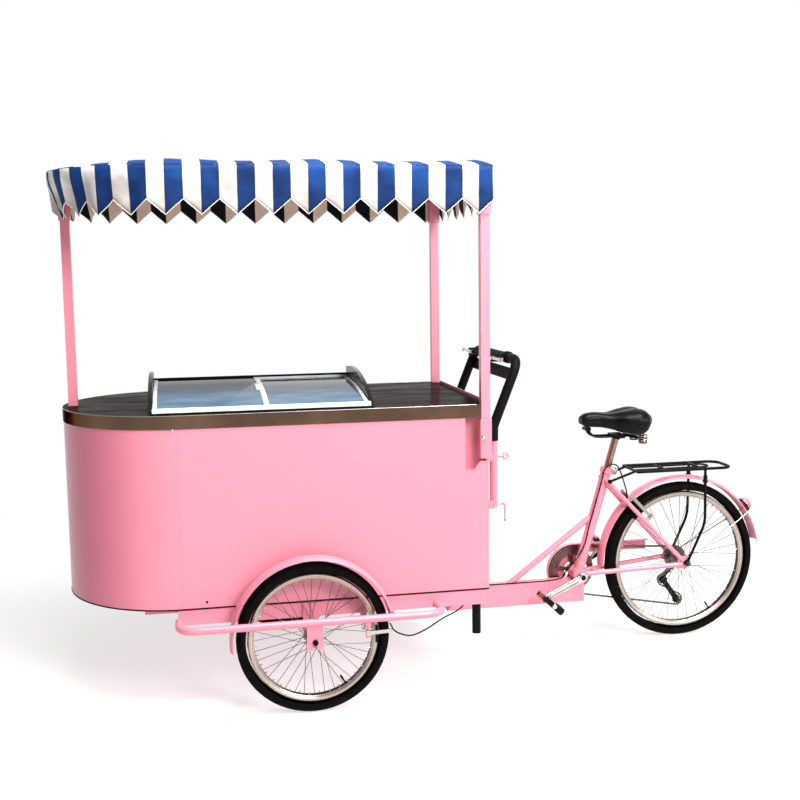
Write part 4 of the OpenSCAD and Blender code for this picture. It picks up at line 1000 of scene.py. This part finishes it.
def add_crankset():
    bm = bmesh.new()
    for side in (-1, 1):
        forged_arm(bm, side)
    disc(bm, CRANK + Vector((0, -0.066, 0)), (0, 1, 0), 0.0085, 0.132, 24)
    arms = piece("crank_arms", bm, "chrome", "crank")
    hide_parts("crankset")
    bm = bmesh.new()
    for side in (-1, 1):
        disc(bm, CRANK + Vector((0, side * 0.0755, 0)), (0, side, 0), 0.0098, 0.0012, 24, 0.0090)
    piece("crank_dust_caps", bm, "plastic", "crank")
    tip, root, inner = 0.0858, 0.0822, 0.058
    spots, count = [], RING_TEETH * 6
    for k in range(count):
        a = math.tau * k / count
        spots.append((a, root + (tip - root) * max(0.0, math.cos(6.0 * ((k % 6) / 6 - 0.5)))))
    bm = bmesh.new()
    for depth in (-0.0011, 0.0011):
        for a, r in spots:
            for reach in (inner, r):
                bm.verts.new(CRANK + CRANK_TURN @ (outward(a) * reach + Vector((0, CHAIN_Y + depth, 0))))
    bm.verts.ensure_lookup_table()
    for k in range(count):
        near, far = 2 * k, 2 * ((k + 1) % count)
        low = [bm.verts[i] for i in (near, near + 1, far + 1, far)]
        high = [bm.verts[i + 2 * count] for i in (near, near + 1, far + 1, far)]
        bm.faces.new(low)
        bm.faces.new(high[::-1])
        bm.faces.new((low[1], high[1], high[2], low[2]))
        bm.faces.new((low[0], low[3], high[3], high[0]))
    bmesh.ops.recalc_face_normals(bm, faces=bm.faces)
    for k in range(5):
        spin = CRANK_TURN @ Matrix.Rotation(math.radians(-72 * k), 3, "Y")
        spoke = CRANK + spin @ Vector((0.034, CHAIN_Y + 0.0009, 0))
        brick(bm, spoke, Vector((0.0280, 0.0021, 0.0078)), 0.0012, spin)
        bolt(bm, CRANK + spin @ Vector((0.0605, CHAIN_Y - 0.0011, 0)), (0, -1, 0), 0.008)
    disc(bm, CRANK + Vector((0, CHAIN_Y - 0.003, 0)), (0, 1, 0), 0.020, 0.020, 32)
    piece("chainring", bm, "ring", "crank", smooth=False)


def add_guard_cover():
    """Outer plate of the chain guard, a part ring behind the chainring."""
    start, stop = math.radians(66), math.radians(226)
    inner, outer = 0.030, 0.0985

    def place(u, v):
        reach = outward(start + (stop - start) * u) * (inner + (outer - inner) * v)
        return CRANK + reach + Vector((0, 0.0578, 0))

    plate = mapped_grid(72, 4, place)
    plate.normal_update()
    bmesh.ops.solidify(plate, geom=list(plate.faces), thickness=0.0012)
    bmesh.ops.recalc_face_normals(plate, faces=plate.faces)
    plate.normal_update()
    piece("guard_cover", plate, "frame_pink", "rear_end")


# Coated tubes

def add_hoop_sleeve():
    """Foam over the handle hoop."""
    low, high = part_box("handlebar")
    post_x = BOX_REAR + 0.045
    half = (high.y - low.y) / 2 - 0.016
    bend_z, top = 0.885, high.z - 0.021
    bar_x = post_x + (top - bend_z) * 0.395
    leg = [Vector((post_x, -half, 0.862)), Vector((post_x, -half, bend_z)), Vector((bar_x, -half, top))]
    path = rounded(leg + [Vector((v.x, half, v.z)) for v in reversed(leg)], 0.055)
    bm = bmesh.new()
    tube(bm, path, 0.0164, 6)
    piece("hoop_sleeve", bm, "grip", "cart")


def add_guard_coats():
    """Smooth enamel skin over the two bent guard rails."""
    z, reach = 0.311, 0.423
    inner, outer = BOX_HALF + 0.005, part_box("guard_rails")[1].y - 0.012
    for side in (-1, 1):
        path = rounded([Vector((FRONT_X + x * reach, side * y, z))
                        for x, y in ((-1, inner), (-1, outer), (1, outer), (1, inner))], 0.060)
        bm = bmesh.new()
        tube(bm, path, 0.0123, 6)
        piece("guard_coat_" + ("left" if side < 0 else "right"), bm, "frame_pink", "cart")


# Small fittings

def lid_arch(y):
    """Height of the glass over the counter, a wide arc across the box."""
    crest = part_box("glass_left")[1].z
    return crest - 2.23 + math.sqrt(2.23 ** 2 - (y - 0.090) ** 2)


def add_lid_trims():
    low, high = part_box("lid_frame")
    bm = bmesh.new()
    block(bm, (low.x, high.y - 0.0133, high.z - 0.0055), (high.x, high.y + 0.0006, high.z + 0.0012), 0.0006)
    block(bm, (low.x, low.y - 0.0012, COUNTER_Z), (high.x, low.y + 0.001, COUNTER_Z + 0.0065))
    piece("lid_seals", bm, "seal", "cart")
    for side, body, sink in (("left", "pane_left", 0.0), ("right", "pane_right", 0.0075)):
        pane_low, pane_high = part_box("glass_" + side)
        x = pane_low.x + 0.0005 if side == "left" else pane_high.x - 0.0125

        def place(u, v):
            y = pane_low.y + 0.001 + (pane_high.y - pane_low.y - 0.002) * v
            return Vector((x + 0.012 * u, y, lid_arch(y) - sink + 0.0009))

        strip = mapped_grid(1, 40, place)
        bmesh.ops.solidify(strip, geom=list(strip.faces), thickness=0.0009)
        bmesh.ops.recalc_face_normals(strip, faces=strip.faces)
        strip.normal_update()
        piece("pane_border_" + side, strip, "lid", body)


def add_box_fittings():
    """A black tube under the box as painted shade in its slit, seam rivets, sleeve bolts, plugs and the pins of the
    handle posts.
    """
    bm = bmesh.new()
    # painted shade: a black tube fills the slit along the box's bottom edge
    tube(bm, round_nose(BOX_REAR, BOX_HALF - 0.001, 0.3488, 48), 0.0028, 2)
    for side in (-1, 1):
        disc(bm, (-0.826, side * (BOX_HALF + 0.0004), 0.369), (0, side, 0), 0.0042, 0.001, 16, 0.003)
    piece("slit_shade_and_plugs", bm, "seal", "cart")
    bm = bmesh.new()
    for side in (-1, 1):
        out = Vector((0, side, 0))
        brick(bm, (NOSE_X, side * (BOX_HALF + 0.0001), 0.641), (0.001, 0.0004, 0.287))
        for k in range(10):
            disc(bm, (NOSE_X + 0.009, side * BOX_HALF, 0.375 + 0.06 * k), out, 0.0026, 0.0009, 12, 0.0014)
    piece("nose_seams", bm, "frame_pink", "cart")
    bm = bmesh.new()
    for side in (-1, 1):
        out = Vector((0, side, 0))
        bolt(bm, (BOX_REAR - 0.020, side * (BOX_HALF + 0.006), 0.8636), out, 0.011)
        bolt(bm, (NOSE_X - 0.015, side * (BOX_HALF - 0.0003), 0.930), out, 0.006)
        y = side * (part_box("handle_posts")[1].y - 0.026)
        x = BOX_REAR + 0.085
        for start, stop, radius in (((-0.031, 0.615), (0, 0.620), 0.0046), ((-0.013, 0.622), (0.013, 0.622), 0.0030),
                                    ((0, 0.622), (0, 0.556), 0.0030)):
            tube(bm, [Vector((x + along, y, z)) for along, z in (start, stop)], radius, 4)
        disc(bm, (x, y, 0.5535), (0, 0, 1), 0.0042, 0.005, 16, 0.0036)
    piece("box_bolts", bm, "chrome", "cart")


BRAKE_TURN = math.atan2(0.594 - 0.307, 0.133 - 0.412 + 0.013)


def pad(arm, hub, turn, side):
    """Rubber block of one brake arm, in three ribs on a back."""
    spin = Matrix.Rotation(-turn, 3, "Y")
    rim = hub + spin @ Vector((hub.z - 0.0445, 0, 0))
    bm = bmesh.new()
    for along, half in ((-0.0185, 0.0080), (0.0, 0.0098), (0.0185, 0.0080)):
        middle = rim + spin @ Vector((0, 0, along)) + Vector((0, side * 0.0192, 0))
        brick(bm, middle, Vector((0.0042, 0.0030, half)), 0.0008, spin)
    brick(bm, rim + Vector((0, side * 0.0242, 0)), Vector((0.0048, 0.0028, 0.0268)), 0.0012, spin)
    piece(arm + "_rubber", bm, "rubber", arm)


def add_brake_pads():
    for wheel, side in (("left", -1), ("right", 1)):
        for name, out in (("outer", 1), ("inner", -1)):
            pad(f"arm_{wheel}_{name}", front_hub(side), 0.0, side * out)
        pad(f"arm_rear_{wheel}", REAR_HUB, BRAKE_TURN, side)


STAY_TURN = math.radians(32)


def lip(bm, centre, radius, start, stop):
    """Adds the rolled edge of a fender, between two angles."""
    turns = [math.radians(start + (stop - start) * k / 60) for k in range(61)]
    tube(bm, [centre + radius * outward(a) for a in turns], 0.0021, 2)


def add_fender_fittings():
    """Rolled lips, tab bolts, bright stays, the lamp's base and the clips of the rack."""
    bm = bmesh.new()
    for side in (-1, 1):
        for edge in (-1, 1):
            lip(bm, front_hub(side) + Vector((0, edge * 0.0318, 0)), FRONT_HUB.z + 0.0115, 10, 186)
    piece("front_fender_lips", bm, "frame_pink", "cart")
    bm = bmesh.new()
    for edge in (-1, 1):
        lip(bm, REAR_HUB + Vector((0, edge * 0.0278, 0)), REAR_HUB.z + 0.0175, 10, 181)
    piece("rear_fender_lips", bm, "frame_pink", "rear_end")
    bm = bmesh.new()
    reach = math.sqrt((FRONT_HUB.z + 0.014) ** 2 - 0.063 ** 2)
    for side in (-1, 1):
        for x in (FRONT_X - reach, FRONT_X + reach):
            bolt(bm, (x, side * (TRACK + 0.040), FRONT_HUB.z + 0.072), (0, 0, 1), 0.008)
    piece("fender_bolts", bm, "zinc", "cart")
    bm = bmesh.new()
    out = 0.319
    for side in (-1, 1):
        tube(bm, [Vector((REAR_X + 0.014, side * 0.0715, 0.306)),
                  Vector((REAR_X + out * math.cos(STAY_TURN), side * 0.026, 0.300 + out * math.sin(STAY_TURN)))],
             0.0028, 3)
        bolt(bm, (REAR_X + 0.0165, side * 0.0738, 0.3075), (0, side, 0), 0.006)
    piece("fender_stays", bm, "chrome", "rear_end")
    bm = bmesh.new()
    axis = outward(math.radians(36))
    disc(bm, REAR_HUB + axis * 0.3264, axis, 0.0286, 0.004, 40)
    disc(bm, REAR_HUB + axis * 0.3304, axis, 0.0286, 0.004, 40, 0.0275)
    for side in (-1, 1):
        tube(bm, [Vector((REAR_X + 0.070, side * 0.0712, z)) for z in (0.632, 0.604)], 0.0078, 4)
        brick(bm, (REAR_X + 0.070, side * 0.0712, 0.612), (0.008, 0.0085, 0.003), 0.001)
    piece("rack_clips", bm, "plastic", "rear_end")


def add_pedal_fittings():
    """Amber reflectors, bright cage plates with teeth and a dust cap on each pedal."""
    turn = Matrix.Rotation(math.radians(40), 3, "Y")
    for side, out in (("left", -1), ("right", 1)):
        low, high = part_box("pedal_" + side)
        middle = (low + high) / 2
        amber, bright = bmesh.new(), bmesh.new()
        for end in (-1, 1):
            spot = middle + turn @ Vector((end * 0.0456, 0, 0))
            brick(amber, spot, Vector((0.0014, 0.020, 0.0052)), 0.0006, turn)
            for edge in (-1, 1):
                bar = middle + turn @ Vector((end * 0.0448, 0, edge * 0.0096))
                brick(bright, bar, Vector((0.0010, 0.0365, 0.0030)), 0.0004, turn)
                for k in range(9):
                    tooth = middle + turn @ Vector((end * 0.0448, -0.032 + 0.008 * k, edge * 0.0136))
                    brick(bright, tooth, Vector((0.0009, 0.0018, 0.0016)), 0, turn)
        cap = Vector((middle.x, high.y if out > 0 else low.y, middle.z))
        disc(bright, cap - Vector((0, out * 0.001, 0)), (0, out, 0), 0.0105, 0.004, 24, 0.0075)
        piece(f"pedal_{side}_reflectors", amber, "amber", "pedal_" + side)
        piece(f"pedal_{side}_cage", bright, "chrome", "pedal_" + side)


def add_counter_edge():
    """Bright bead round the counter's folded edge: a painted highlight along its corner."""
    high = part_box("counter_top")[1]
    bm = bmesh.new()
    tube(bm, round_nose(high.x - 0.040, high.y - 0.0004, high.z - 0.0006, 64), 0.0011, 2)
    piece("counter_highlight_edge", bm, "zinc", "cart")


add_roof_cloth()
add_valance()
add_saddle()
WHEELS = (("front_left", front_hub(-1), 96), ("front_right", front_hub(1), 96), ("rear", REAR_HUB, 120))
for wheel, hub, steps in WHEELS:
    add_tyre(wheel + "_tyre", hub, wheel + "_wheel", steps)
    add_valve(wheel + "_valve", hub, wheel + "_wheel")
    add_nipples(wheel + "_nipples", hub, wheel + "_wheel")
add_chain()
add_crankset()
add_guard_cover()
add_hoop_sleeve()
add_guard_coats()
add_lid_trims()
add_box_fittings()
add_brake_pads()
add_fender_fittings()
add_pedal_fittings()
add_counter_edge()


# Floor

def add_floor():
    bm = bmesh.new()
    bmesh.ops.create_grid(bm, x_segments=2, y_segments=2, size=30)
    mesh = bpy.data.meshes.new("floor")
    bm.to_mesh(mesh)
    bm.free()
    floor = bpy.data.objects.new("floor", mesh)
    f = Finish("pale_floor", (0.9, 0.9, 0.9, 1), 0.9, Emission_Color=(1, 1, 1, 1), Specular_IOR_Level=0.0)
    far = f.ranged(f.distance((0, 0, 0)), 0.62, 1, 1.2, 3.4)
    near = f.mottled(f.noise(1.5), (0.40, 0.40, 0.40, 1), (0.42, 0.42, 0.42, 1))
    f.paint(f.mixed(f.ranged(far, 0, 1, 0.62, 1), near, (0, 0, 0, 1)))
    f.wire(far, f.shader.inputs["Emission Strength"])
    mesh.materials.append(f.material)
    floor.location.z = -0.0005
    bpy.context.scene.collection.objects.link(floor)


add_floor()
